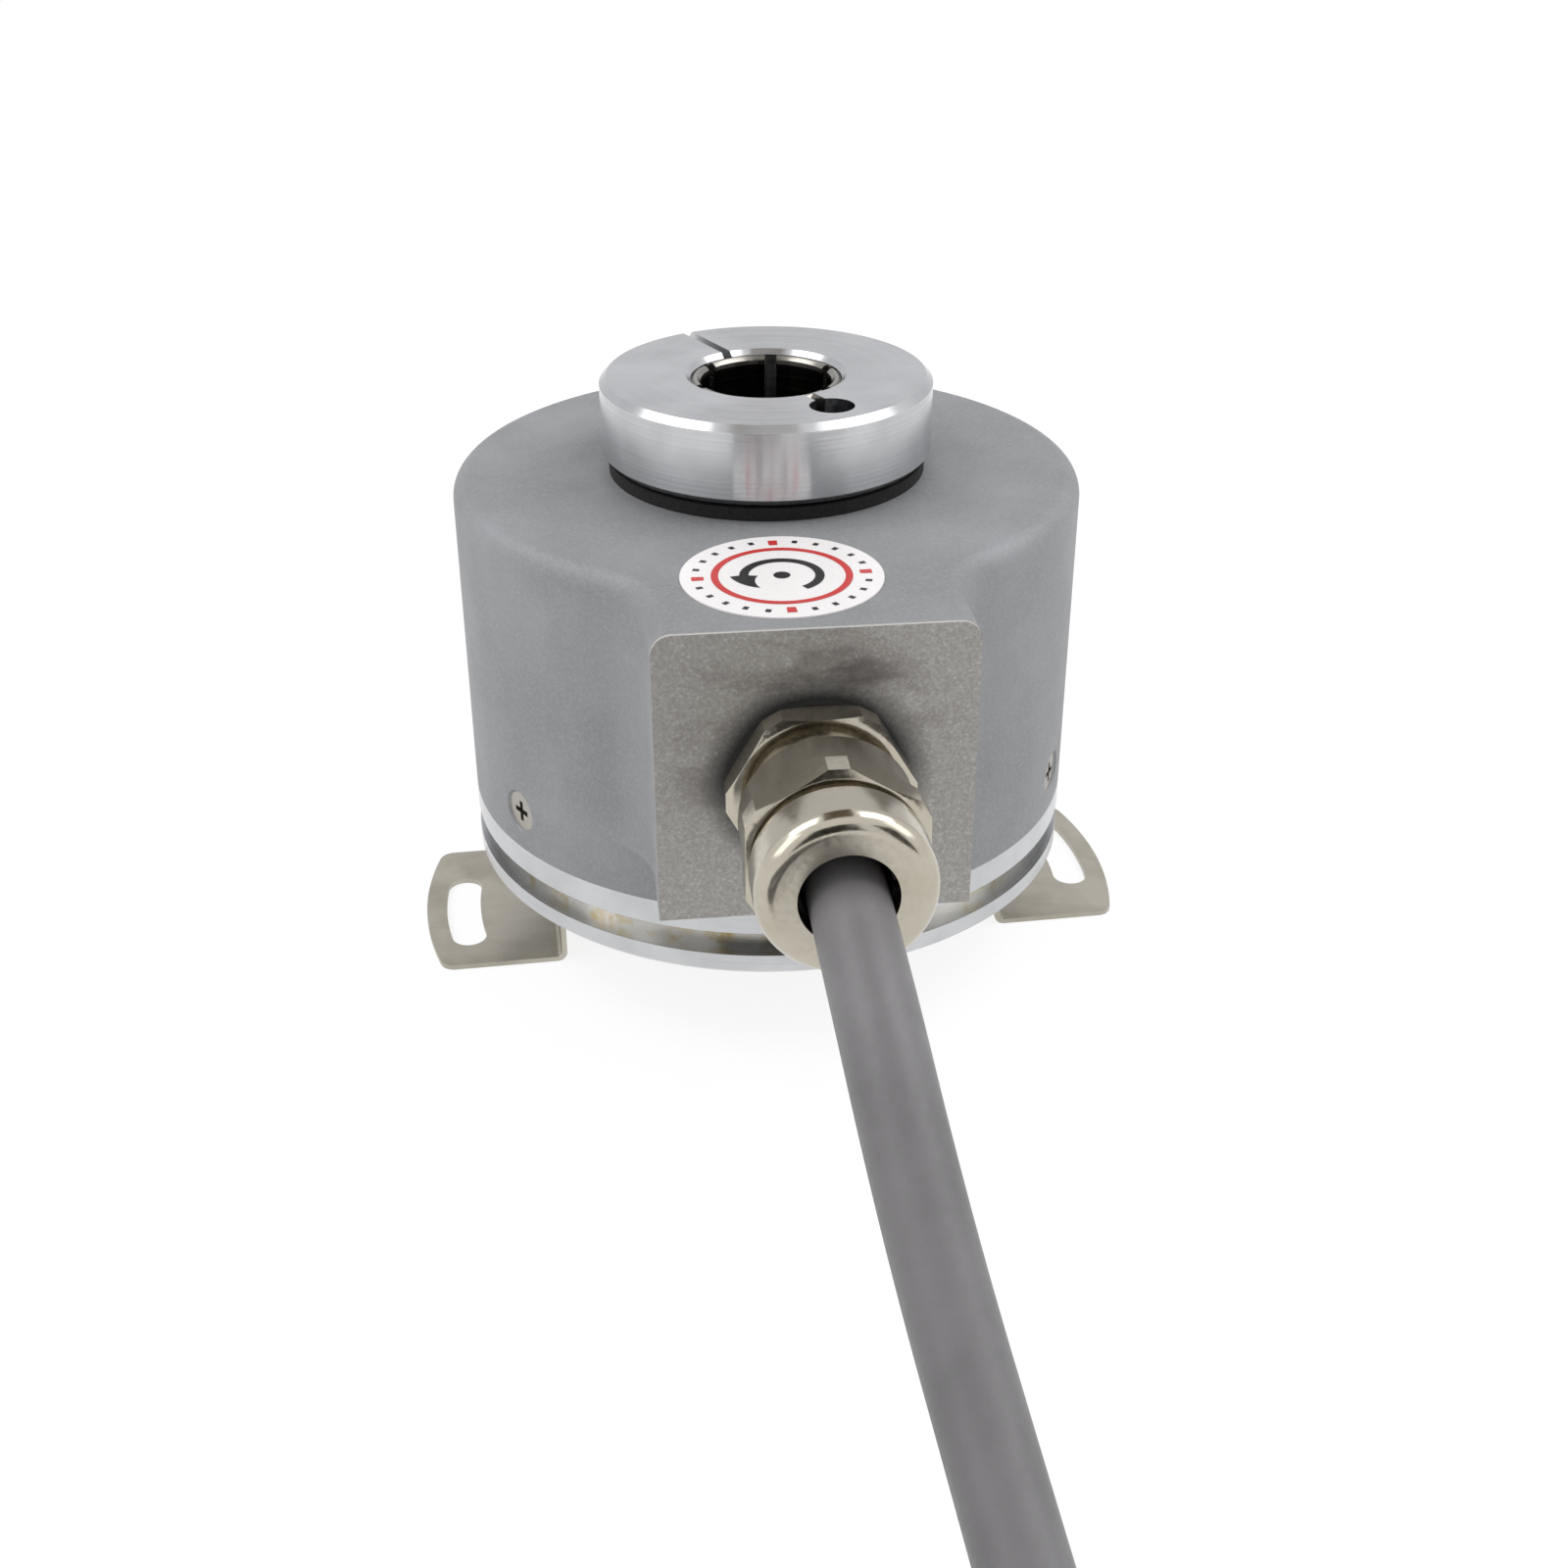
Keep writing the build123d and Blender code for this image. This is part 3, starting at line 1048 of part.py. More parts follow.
with BuildPart() as inner_leads:
    with BuildSketch(Plane.XZ.offset(plug_front)):
        with Locations((0, GLAND_LEVEL)):
            with GridLocations(CORE_SPACING, CORE_SPACING, 3, 2):
                Circle(CORE_RADIUS)
    extrude(amount=-CABLE_ROUTE[0][1] - plug_front)

inner_leads.part.label = "inner_leads"
export_step(inner_leads.part, "parts/inner_leads.step")
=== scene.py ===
"""Looks of an optical rotary encoder with a hollow shaft: finishes, cable, label and studio.

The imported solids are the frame. Every rigid piece keeps its solid and gets the finish of the real
one. The cable, its sleeve and cores, and the print of the label are made here.
"""

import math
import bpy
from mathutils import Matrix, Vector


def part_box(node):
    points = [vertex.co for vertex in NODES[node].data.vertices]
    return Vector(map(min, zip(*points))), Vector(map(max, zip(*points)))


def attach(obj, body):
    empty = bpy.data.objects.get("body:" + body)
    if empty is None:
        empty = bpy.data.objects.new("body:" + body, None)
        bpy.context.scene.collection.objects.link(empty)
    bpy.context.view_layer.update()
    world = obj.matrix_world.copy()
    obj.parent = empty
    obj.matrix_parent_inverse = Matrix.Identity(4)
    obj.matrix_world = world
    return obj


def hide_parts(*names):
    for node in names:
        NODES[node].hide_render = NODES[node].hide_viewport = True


bl_info = {
    "name": "Optical rotary encoder",
    "version": (1, 0, 0),
    "blender": (4, 5, 0),
    "location": "View3D > Sidebar > Encoder",
    "description": "Finishes, cable, label and studio of a hollow shaft encoder",
    "category": "Object",
}

import bmesh
import bpy
import numpy as np
from bpy.props import FloatProperty, FloatVectorProperty, IntProperty, PointerProperty, StringProperty
from mathutils import Euler, Matrix, Vector

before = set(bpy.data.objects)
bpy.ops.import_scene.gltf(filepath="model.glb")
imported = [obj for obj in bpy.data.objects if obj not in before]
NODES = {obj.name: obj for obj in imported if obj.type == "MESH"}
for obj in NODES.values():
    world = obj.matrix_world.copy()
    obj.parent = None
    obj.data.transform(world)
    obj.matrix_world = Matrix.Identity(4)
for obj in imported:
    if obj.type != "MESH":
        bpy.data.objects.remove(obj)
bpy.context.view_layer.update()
MM = 0.001

FLOOR_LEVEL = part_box("coupling_plate")[0].z
COVER_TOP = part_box("housing_cover")[1].z
BLOCK_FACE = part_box("housing_cover")[0].y
GLAND_LEVEL = (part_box("gland_nut")[0].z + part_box("gland_nut")[1].z) / 2
GLAND_ROOT = (0.0, BLOCK_FACE, GLAND_LEVEL)
SMEAR_MIDDLE = (-1 * MM, BLOCK_FACE, GLAND_LEVEL + 4.5 * MM)

# Painted shade in hollows of turned pieces, with painted reflections in the flange's groove: outer radius,
# lower and upper level, and the two colours there
FLANGE_GROOVE = (28.3 * MM, 2.05 * MM, 4.4 * MM, "#b2b0a9", "#a0884c")
# The shaft's bore: painted shade, nearly black
SHAFT_BORE = (6.2 * MM, FLOOR_LEVEL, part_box("hollow_shaft")[1].z - 0.7 * MM, "#23211f", "#332f2b")

# Sizes of the spots in each finish. Real specks and grain are finer than these, too fine to show
CAST_PATCH = 9 * MM
CAST_SCUFF = 1.6 * MM
MILLED_SPECK = 0.30 * MM
# Size of the spots in the painted shade and painted reflections of turned hollows
PAINTED_SPOT = 2.5 * MM
METAL_HAZE = 5 * MM
PLATING_CLOUD = 4 * MM
SHEET_GRAIN = 0.25 * MM
SHEET_STAIN = 6 * MM
PLASTIC_CLOUD = 7 * MM

# Depths of the bumps that go with them
CAST_RELIEF = 0.05 * MM
TOOL_MARK = 0.004 * MM
ROLL_MARK = 0.006 * MM
SMOOTH_SKIN = 0.002 * MM

# Corners of the CAD mesh nearer than this are joined, and edges that turn more than this stay sharp
SAME_CORNER = 0.0005 * MM
SHARP_EDGE = math.radians(28)

# Half the turn that a short and a long mark of the label fill, and where the turning arrow runs
TICK_HALF_TURN = 0.032
LONG_TICK_HALF_TURN = 0.055
ARROW_START = math.radians(-60)
ARROW_END = math.radians(230)
ARROW_HEAD_FROM = 0.82

# Cards that only mirrors show, in metres: middle, half of the width, half of the height
CARDS = {
    "card_behind": ((0.0, 0.5, 0.34), (0.8, 0, 0), (0, 0, 0.35)),
    "card_before": ((-0.06, -0.5, 0.21), (0.17, 0, 0), (0, 0, 0.17)),
    "card_beside": ((0.24, -0.32, 0.13), (0.06, 0.045, 0), (0, 0, 0.13)),
    "card_above": ((-0.02, 0.08, 0.45), (0.11, 0, 0), (0, 0.22, 0)),
}

# Square lamps that point at the shaft, in metres: place, side, and the setting with their power
LAMPS = {
    "lamp_above_left": ((-0.46, 0.05, 0.60), 0.40, "lamp_power"),
    "lamp_above_right": ((0.40, 0.05, 0.62), 0.40, "lamp_power"),
    "lamp_left": ((-0.60, -0.25, 0.35), 0.35, "fill_power"),
    "lamp_right": ((0.60, -0.15, 0.40), 0.35, "fill_power"),
}
PAPER_SHARE = 0.8  # how much of the floor's look is its own white, and the rest is lit


class StudioSettings(bpy.types.PropertyGroup):
    """Camera, floor, sky, cards and lamps."""

    camera_place: FloatVectorProperty(
        name="Camera place",
        description="Where the lens is",
        default=(-18.51 * MM, -175.389 * MM, 101.86 * MM),
        subtype="TRANSLATION",
        unit="LENGTH",
    )
    camera_heading: FloatProperty(
        name="Heading",
        description="Turn of the view from +Y towards +X",
        default=math.radians(6.543),
        subtype="ANGLE",
    )
    camera_drop: FloatProperty(
        name="Drop",
        description="Angle of the view below the horizon",
        default=math.radians(29.175),
        subtype="ANGLE",
    )
    camera_roll: FloatProperty(
        name="Roll", description="Turn about the view", default=math.radians(-0.058), subtype="ANGLE"
    )
    lens: FloatProperty(name="Lens", description="Focal length, on 36 mm", default=45.71, unit="CAMERA")
    floor_size: FloatProperty(name="Floor", description="Side of the floor", default=6.0, unit="LENGTH")
    floor_colour: StringProperty(name="Floor colour", description="Paper of the floor", default="#ffffff")
    paper_glow: FloatProperty(name="Paper", description="How white the floor looks", default=1.06)
    sky_strength: FloatProperty(name="Sky", description="Light from all round", default=0.62)
    card_behind: StringProperty(name="Card behind", description="Large, for flat tops", default="#e8e8ea")
    card_before: StringProperty(name="Card before", description="Dark, by the camera", default="#3a3836")
    card_above: StringProperty(name="Card above", description="Warm, over the object", default="#6b614f")
    card_beside: StringProperty(name="Card beside", description="Dark, on the right", default="#5a5552")
    lamp_power: FloatProperty(name="Lamps", description="Power of each above", default=1.5, unit="POWER")
    fill_power: FloatProperty(name="Fill", description="Power of each at the side", default=0.5, unit="POWER")


class HousingSettings(bpy.types.PropertyGroup):
    """Die-cast cover and the raw face of its cable block."""

    cast_colour: StringProperty(name="Cast", description="Blasted casting", default="#8b8c8e")
    patch_colour: StringProperty(name="Patches", description="Slow patches on it", default="#98999c")
    grain_colour: StringProperty(name="Grains", description="Lighter grains on it", default="#a3a4a7")
    # Lighter band along the top fillet: partly rubbed wear, partly a painted highlight
    rub_and_highlight_colour: StringProperty(name="Rubbed_and_lit", description="Where its top fillet is rubbed", default="#a9aaac")
    raw_colour: StringProperty(name="Raw", description="Milled face of the block", default="#b1afab")
    dull_colour: StringProperty(name="Dull", description="Dull specks of that face", default="#999692")
    bright_colour: StringProperty(name="Bright", description="Bright specks of that face", default="#d6d4cf")
    soot_colour: StringProperty(name="Smear", description="Dark smears on that face", default="#4f4946")
    # Colour of the painted shadow round the gland's washer
    gland_shadow_colour: StringProperty(name="Gland_shadow", description="Round the gland's washer", default="#1d1b1a")
    grit: FloatProperty(name="Grit", description="Blasting, drawn coarse", default=0.30 * MM, unit="LENGTH")
    smear_size: FloatProperty(name="Smears", description="Size of a smear", default=9.0 * MM, unit="LENGTH")


class MetalSettings(bpy.types.PropertyGroup):
    """Colours of the bare and plated metals."""

    aluminium: StringProperty(name="Aluminium", description="Turned aluminium", default="#c9cacc")
    shaft_steel: StringProperty(name="Shaft", description="Ground stainless steel", default="#9a9791")
    plating: StringProperty(name="Plating", description="Nickel on brass", default="#bbb5a8")
    sheet_steel: StringProperty(name="Sheet", description="Rolled spring steel", default="#bdb8ac")
    bearing_steel: StringProperty(name="Bearings", description="Polished bearing steel", default="#c4c4c6")
    screw_steel: StringProperty(name="Screws", description="Zinc plated steel", default="#a9a6a0")
    turning_pitch: FloatProperty(
        name="Turning", description="Feed of the turning tool, drawn coarse", default=0.22 * MM, unit="LENGTH"
    )


class CableSettings(bpy.types.PropertyGroup):
    """Round PVC cable, put away in a coil."""

    radius: FloatProperty(name="Radius", description="Outside of the jacket", default=3.1 * MM, unit="LENGTH")
    length: FloatProperty(name="Length", description="From seal to sleeve", default=1.0, unit="LENGTH")
    jacket: StringProperty(name="Jacket", description="PVC", default="#7a787a")
    coil_centre: FloatVectorProperty(
        name="Coil centre",
        description="Middle of the coil",
        default=(-28.8 * MM, -140.0 * MM),
        size=2,
        unit="LENGTH",
    )
    coil_radius: FloatProperty(
        name="Coil radius", description="Middle of its two turns", default=33.0 * MM, unit="LENGTH"
    )
    coil_end: FloatProperty(name="Coil end", description="Turns up to the sleeve", default=4.26)
    points_per_turn: IntProperty(name="Points", description="Route points on each turn", default=20)
    sleeve_length: FloatProperty(name="Sleeve", description="Its length", default=14.0 * MM, unit="LENGTH")
    sleeve_overlap: FloatProperty(
        name="Overlap", description="Jacket inside the sleeve", default=4.0 * MM, unit="LENGTH"
    )
    sleeve_radius: FloatProperty(name="Sleeve radius", description="Outside", default=3.5 * MM, unit="LENGTH")
    core_length: FloatProperty(name="Cores", description="Free length", default=34.0 * MM, unit="LENGTH")
    core_radius: FloatProperty(name="Core radius", description="Insulation", default=0.65 * MM, unit="LENGTH")
    core_pitch: FloatProperty(name="Core pitch", description="Between cores", default=1.4 * MM, unit="LENGTH")
    tip_length: FloatProperty(name="Tips", description="Tinned ends", default=6.0 * MM, unit="LENGTH")
    tip_radius: FloatProperty(name="Tip radius", description="Bare strand", default=0.38 * MM, unit="LENGTH")


class LabelSettings(bpy.types.PropertyGroup):
    """Round film label with a graduated ring."""

    film: StringProperty(name="Film", description="White film", default="#f1eeee")
    red: StringProperty(name="Red", description="Red print", default="#c9302c")
    black: StringProperty(name="Black", description="Black print", default="#1d1b1c")
    ring_radius: FloatProperty(name="Ring", description="Middle of its line", default=5.5 * MM, unit="LENGTH")
    ring_width: FloatProperty(name="Ring width", description="Red line", default=0.6 * MM, unit="LENGTH")
    tick_radius: FloatProperty(name="Ticks", description="Their outer end", default=7.4 * MM, unit="LENGTH")
    tick_length: FloatProperty(name="Tick", description="Short mark", default=0.55 * MM, unit="LENGTH")
    long_tick: FloatProperty(name="Long tick", description="At each quarter", default=1.0 * MM, unit="LENGTH")
    ticks: IntProperty(name="Tick count", description="Marks round the edge", default=24)
    arrow_radius: FloatProperty(name="Arrow", description="Middle of line", default=3.1 * MM, unit="LENGTH")
    arrow_half: FloatProperty(name="Line", description="Half its width", default=0.38 * MM, unit="LENGTH")
    head_half: FloatProperty(name="Head", description="Half its width", default=1.15 * MM, unit="LENGTH")
    dot_radius: FloatProperty(name="Dot", description="Middle of the label", default=0.7 * MM, unit="LENGTH")
    print_lift: FloatProperty(name="Print", description="Its height", default=0.02 * MM, unit="LENGTH")


# The cable's route in millimetres, from the seal in the gland to its coil
CABLE_ROUTE_MM = [
    (0.0, -37.1, 24.5),
    (0.0, -58.6, 24.5),
    (2.2, -76.5, 12.3),
    (5.1, -92.0, 1.8),
    (7.3, -111.0, -5.6),
    (7.5, -131.0, -5.6),
]

CORE_COLOURS = ("#b3261e", "#20201f", "#2f7d3b", "#e6e2d8", "#d9b12c", "#6b452c")


def linear(colour, share=1.0):
    """Turns an sRGB hex value into the linear colour that shaders take, and darkens it to a share."""
    channels = [int(colour[place : place + 2], 16) / 255 for place in (1, 3, 5)]
    channels = [c / 12.92 if c <= 0.04045 else ((c + 0.055) / 1.055) ** 2.4 for c in channels]
    return [channel * share for channel in channels] + [1.0]


def add(tree, kind, inputs=(), **settings):
    """Adds a node with its settings, fills its inputs by name or in order, and gives back its outputs."""
    made = tree.nodes.new(kind)
    for name, value in settings.items():
        setattr(made, name, value)
    for socket, value in inputs.items() if isinstance(inputs, dict) else enumerate(inputs):
        if isinstance(value, bpy.types.NodeSocket):
            tree.links.new(value, made.inputs[socket])
        else:
            made.inputs[socket].default_value = value
    return made.outputs


def blank_material(name):
    """A material with an empty node tree, and the coordinates of the row's own frame."""
    material = bpy.data.materials.new(name)
    material.use_nodes = True
    tree = material.node_tree
    tree.nodes.clear()
    return material, tree, add(tree, "ShaderNodeTexCoord")["Object"]


def cast_skin(tree, place, level, settings):
    """Colour of the blasted casting: slow patches, lighter grains, and a lighter band along its top fillet,
    partly rubbed wear and partly a painted highlight.
    """
    grit = {"Vector": place, "Scale": 1 / settings.grit, "Detail": 2.0, "Roughness": 0.6}
    grit = add(tree, "ShaderNodeTexNoise", grit)["Fac"]
    patch = add(tree, "ShaderNodeTexNoise", {"Vector": place, "Scale": 1 / CAST_PATCH, "Detail": 5.0})["Fac"]
    share = add(tree, "ShaderNodeMapRange", [patch, 0.35, 0.7])[0]
    skin = {0: share, 6: linear(settings.cast_colour), 7: linear(settings.patch_colour)}
    skin = add(tree, "ShaderNodeMix", skin, data_type="RGBA")[2]
    share = add(tree, "ShaderNodeMapRange", [grit, 0.42, 0.75, 0.0, 0.55])[0]
    skin = {0: share, 6: skin, 7: linear(settings.grain_colour)}
    skin = add(tree, "ShaderNodeMix", skin, data_type="RGBA")[2]
    # Speckled lighter band along the top fillet: partly wear, partly a painted highlight
    rising = add(tree, "ShaderNodeMapRange", [level, COVER_TOP - 2.2 * MM, COVER_TOP - 1.2 * MM])[0]
    falling = [level, COVER_TOP - 0.6 * MM, COVER_TOP - 0.05 * MM, 1.0, 0.0]
    falling = add(tree, "ShaderNodeMapRange", falling)[0]
    edge = add(tree, "ShaderNodeMath", [rising, falling], operation="MULTIPLY")[0]
    scuff = {"Vector": place, "Scale": 1 / CAST_SCUFF, "Detail": 4.0, "Roughness": 0.7}
    scuff = add(tree, "ShaderNodeTexNoise", scuff)["Fac"]
    scuff = add(tree, "ShaderNodeMapRange", [scuff, 0.3, 0.7, 0.0, 0.12])[0]
    rub_and_highlight = add(tree, "ShaderNodeMath", [edge, scuff], operation="MULTIPLY")[0]
    skin = {0: rub_and_highlight, 6: skin, 7: linear(settings.rub_and_highlight_colour)}
    return add(tree, "ShaderNodeMix", skin, data_type="RGBA")[2], grit


def milled_face(tree, place, settings):
    """Colour of the milled face: fine specks, a dark smear above the gland, and a painted shadow round its
    washer.
    """
    speck = {"Vector": place, "Scale": 1 / MILLED_SPECK, "Detail": 3.0, "Roughness": 0.8}
    speck = add(tree, "ShaderNodeTexNoise", speck)["Fac"]
    share = add(tree, "ShaderNodeMapRange", [speck, 0.38, 0.66])[0]
    raw = {0: share, 6: linear(settings.dull_colour), 7: linear(settings.raw_colour)}
    raw = add(tree, "ShaderNodeMix", raw, data_type="RGBA")[2]
    share = add(tree, "ShaderNodeMapRange", [speck, 0.6, 0.78, 0.0, 0.8])[0]
    raw = {0: share, 6: raw, 7: linear(settings.bright_colour)}
    raw = add(tree, "ShaderNodeMix", raw, data_type="RGBA")[2]

    drawn = add(tree, "ShaderNodeMapping", {"Vector": place, "Scale": (0.5, 1.0, 1.4)})[0]
    smear = {"Vector": drawn, "Scale": 1 / settings.smear_size, "Detail": 5.0, "Roughness": 0.65}
    smear = add(tree, "ShaderNodeTexNoise", smear)["Fac"]
    smear = add(tree, "ShaderNodeMapRange", [smear, 0.5, 0.68])[0]
    above = add(tree, "ShaderNodeVectorMath", [place, SMEAR_MIDDLE], operation="DISTANCE")["Value"]
    spread = add(tree, "ShaderNodeMapRange", [above, 7 * MM, 12 * MM, 0.8, 0.06])[0]
    share = add(tree, "ShaderNodeMath", [smear, spread], operation="MULTIPLY")[0]
    raw = {0: share, 6: raw, 7: linear(settings.soot_colour)}
    raw = add(tree, "ShaderNodeMix", raw, data_type="RGBA")[2]

    # Painted shadow: the face darkens in a ring round the gland's washer
    near = add(tree, "ShaderNodeVectorMath", [place, GLAND_ROOT], operation="DISTANCE")["Value"]
    share = add(tree, "ShaderNodeMapRange", [near, 7.2 * MM, 9.6 * MM, 0.85, 0.0])[0]
    raw = {0: share, 6: raw, 7: linear(settings.gland_shadow_colour)}
    return add(tree, "ShaderNodeMix", raw, data_type="RGBA")[2]


def cast_housing(settings):
    """Die-cast and blasted: matte grey with a fine grit, and one milled face, brighter and less matte.

    A thin bright line runs where the milling cut the casting.
    """
    material, tree, place = blank_material("blasted_die_cast")
    parts = add(tree, "ShaderNodeSeparateXYZ", [place])
    skin, grit = cast_skin(tree, place, parts["Z"], settings)
    rim = [parts["Y"], BLOCK_FACE + 0.40 * MM, BLOCK_FACE + 0.15 * MM, 0.0, 0.75]
    rim = add(tree, "ShaderNodeMapRange", rim)[0]
    skin = {0: rim, 6: skin, 7: linear(settings.bright_colour)}
    skin = add(tree, "ShaderNodeMix", skin, data_type="RGBA")[2]
    on_face = [parts["Y"], BLOCK_FACE + 0.06 * MM, BLOCK_FACE + 0.02 * MM]
    on_face = add(tree, "ShaderNodeMapRange", on_face)[0]
    colour = {0: on_face, 6: skin, 7: milled_face(tree, place, settings)}
    colour = add(tree, "ShaderNodeMix", colour, data_type="RGBA")[2]
    shine = add(tree, "ShaderNodeMapRange", [on_face, 0.0, 1.0, 0.62, 0.46])[0]
    normal = add(tree, "ShaderNodeBump", {"Height": grit, "Distance": CAST_RELIEF, "Strength": 0.55})[0]
    finish = {"Base Color": colour, "Metallic": 0.35, "Roughness": shine, "Normal": normal}
    shader = add(tree, "ShaderNodeBsdfPrincipled", finish)["BSDF"]
    add(tree, "ShaderNodeOutputMaterial", [shader])
    return material


def turned_metal(name, colour, pitch, roughness, painted_light_part=None):
    """Turned on a lathe: fine rings follow the tool, and light stretches across them.

    The rings are noise of distance from the shaft and height, so that they close round it. Real ones
    are too fine to show, and are drawn coarser. The stretch runs away from the shaft and downwards,
    which is across the rings on a flat face and on a round one.
    """
    material, tree, place = blank_material(name)
    parts = add(tree, "ShaderNodeSeparateXYZ", [place])
    flat = add(tree, "ShaderNodeCombineXYZ", [parts["X"], parts["Y"], 0.0])[0]
    radius = add(tree, "ShaderNodeVectorMath", [flat], operation="LENGTH")["Value"]
    around = add(tree, "ShaderNodeCombineXYZ", [radius, parts["Z"], 0.0])[0]
    rings = {"Vector": around, "Scale": 1 / pitch, "Detail": 2.0, "Roughness": 0.6}
    rings = add(tree, "ShaderNodeTexNoise", rings)["Fac"]
    haze = add(tree, "ShaderNodeTexNoise", {"Vector": place, "Scale": 1 / METAL_HAZE, "Detail": 3.0})["Fac"]
    share = add(tree, "ShaderNodeMapRange", [haze, 0.35, 0.65])[0]
    tone = {0: share, 6: linear(colour, 0.88), 7: linear(colour)}
    tone = add(tree, "ShaderNodeMix", tone, data_type="RGBA")[2]
    # Painted shade inside a hollow of the piece, with spots of a second colour: painted reflections in the
    # flange's groove
    if painted_light_part:
        reach, low, high, dull, painted_spot_colour = painted_light_part
        inside = add(tree, "ShaderNodeMath", [radius, reach], operation="LESS_THAN")[0]
        above = add(tree, "ShaderNodeMath", [parts["Z"], low], operation="GREATER_THAN")[0]
        below = add(tree, "ShaderNodeMath", [parts["Z"], high], operation="LESS_THAN")[0]
        both = add(tree, "ShaderNodeMath", [above, below], operation="MULTIPLY")[0]
        deep = add(tree, "ShaderNodeMath", [inside, both], operation="MULTIPLY")[0]
        stains_and_painted_spots = {"Vector": place, "Scale": 1 / PAINTED_SPOT, "Detail": 4.0, "Roughness": 0.65}
        stains_and_painted_spots = add(tree, "ShaderNodeTexNoise", stains_and_painted_spots)["Fac"]
        share = add(tree, "ShaderNodeMapRange", [stains_and_painted_spots, 0.52, 0.75])[0]
        painted_tone = {0: share, 6: linear(dull), 7: linear(painted_spot_colour)}
        painted_tone = add(tree, "ShaderNodeMix", painted_tone, data_type="RGBA")[2]
        tone = add(tree, "ShaderNodeMix", {0: deep, 6: tone, 7: painted_tone}, data_type="RGBA")[2]
    shine = add(tree, "ShaderNodeMapRange", [rings, 0.3, 0.7, roughness * 0.8, roughness * 1.3])[0]
    across = add(tree, "ShaderNodeCombineXYZ", [parts["X"], parts["Y"], -5 * MM])[0]
    spaces = {"convert_from": "OBJECT", "convert_to": "WORLD"}
    across = add(tree, "ShaderNodeVectorTransform", [across], **spaces)[0]
    normal = add(tree, "ShaderNodeBump", {"Height": rings, "Distance": TOOL_MARK})[0]
    finish = {"Base Color": tone, "Metallic": 1.0, "Roughness": shine, "Normal": normal}
    finish |= {"Anisotropic": 0.9, "Tangent": across}
    shader = add(tree, "ShaderNodeBsdfPrincipled", finish)["BSDF"]
    add(tree, "ShaderNodeOutputMaterial", [shader])
    return material


def plated_metal(name, colour, roughness, grain=0.5 * MM, dull="#a89c86"):
    """Plated and tumbled: a bright skin with faint warm clouds and very fine scratches, drawn coarse."""
    material, tree, place = blank_material(name)
    warm = {"Vector": place, "Scale": 1 / PLATING_CLOUD, "Detail": 4.0, "Roughness": 0.6}
    warm = add(tree, "ShaderNodeTexNoise", warm)["Fac"]
    warm = add(tree, "ShaderNodeMapRange", [warm, 0.45, 0.75, 0.0, 0.45])[0]
    tone = {0: warm, 6: linear(colour), 7: linear(dull)}
    tone = add(tree, "ShaderNodeMix", tone, data_type="RGBA")[2]
    fine = {"Vector": place, "Scale": 1 / grain, "Detail": 3.0, "Roughness": 0.6}
    fine = add(tree, "ShaderNodeTexNoise", fine)["Fac"]
    shine = add(tree, "ShaderNodeMapRange", [fine, 0.3, 0.7, roughness * 0.75, roughness * 1.35])[0]
    normal = add(tree, "ShaderNodeBump", {"Height": fine, "Distance": TOOL_MARK})[0]
    finish = {"Base Color": tone, "Metallic": 1.0, "Roughness": shine, "Normal": normal}
    shader = add(tree, "ShaderNodeBsdfPrincipled", finish)["BSDF"]
    add(tree, "ShaderNodeOutputMaterial", [shader])
    return material


def rolled_sheet(name, colour, roughness, dull="#8f8a7c"):
    """Cold rolled sheet: satin, with grain along the strip, drawn coarse, and a few duller clouds."""
    material, tree, place = blank_material(name)
    drawn = add(tree, "ShaderNodeMapping", {"Vector": place, "Scale": (0.05, 1.0, 1.0)})[0]
    grain = {"Vector": drawn, "Scale": 1 / SHEET_GRAIN, "Detail": 3.0, "Roughness": 0.6}
    grain = add(tree, "ShaderNodeTexNoise", grain)["Fac"]
    stains_and_painted_spots = add(tree, "ShaderNodeTexNoise", {"Vector": place, "Scale": 1 / SHEET_STAIN, "Detail": 4.0})["Fac"]
    stains_and_painted_spots = add(tree, "ShaderNodeMapRange", [stains_and_painted_spots, 0.4, 0.7, 0.0, 0.6])[0]
    tone = {0: stains_and_painted_spots, 6: linear(colour), 7: linear(dull)}
    tone = add(tree, "ShaderNodeMix", tone, data_type="RGBA")[2]
    shine = add(tree, "ShaderNodeMapRange", [grain, 0.3, 0.7, roughness * 0.8, roughness * 1.3])[0]
    normal = add(tree, "ShaderNodeBump", {"Height": grain, "Distance": ROLL_MARK})[0]
    finish = {"Base Color": tone, "Metallic": 1.0, "Roughness": shine, "Normal": normal}
    shader = add(tree, "ShaderNodeBsdfPrincipled", finish)["BSDF"]
    add(tree, "ShaderNodeOutputMaterial", [shader])
    return material


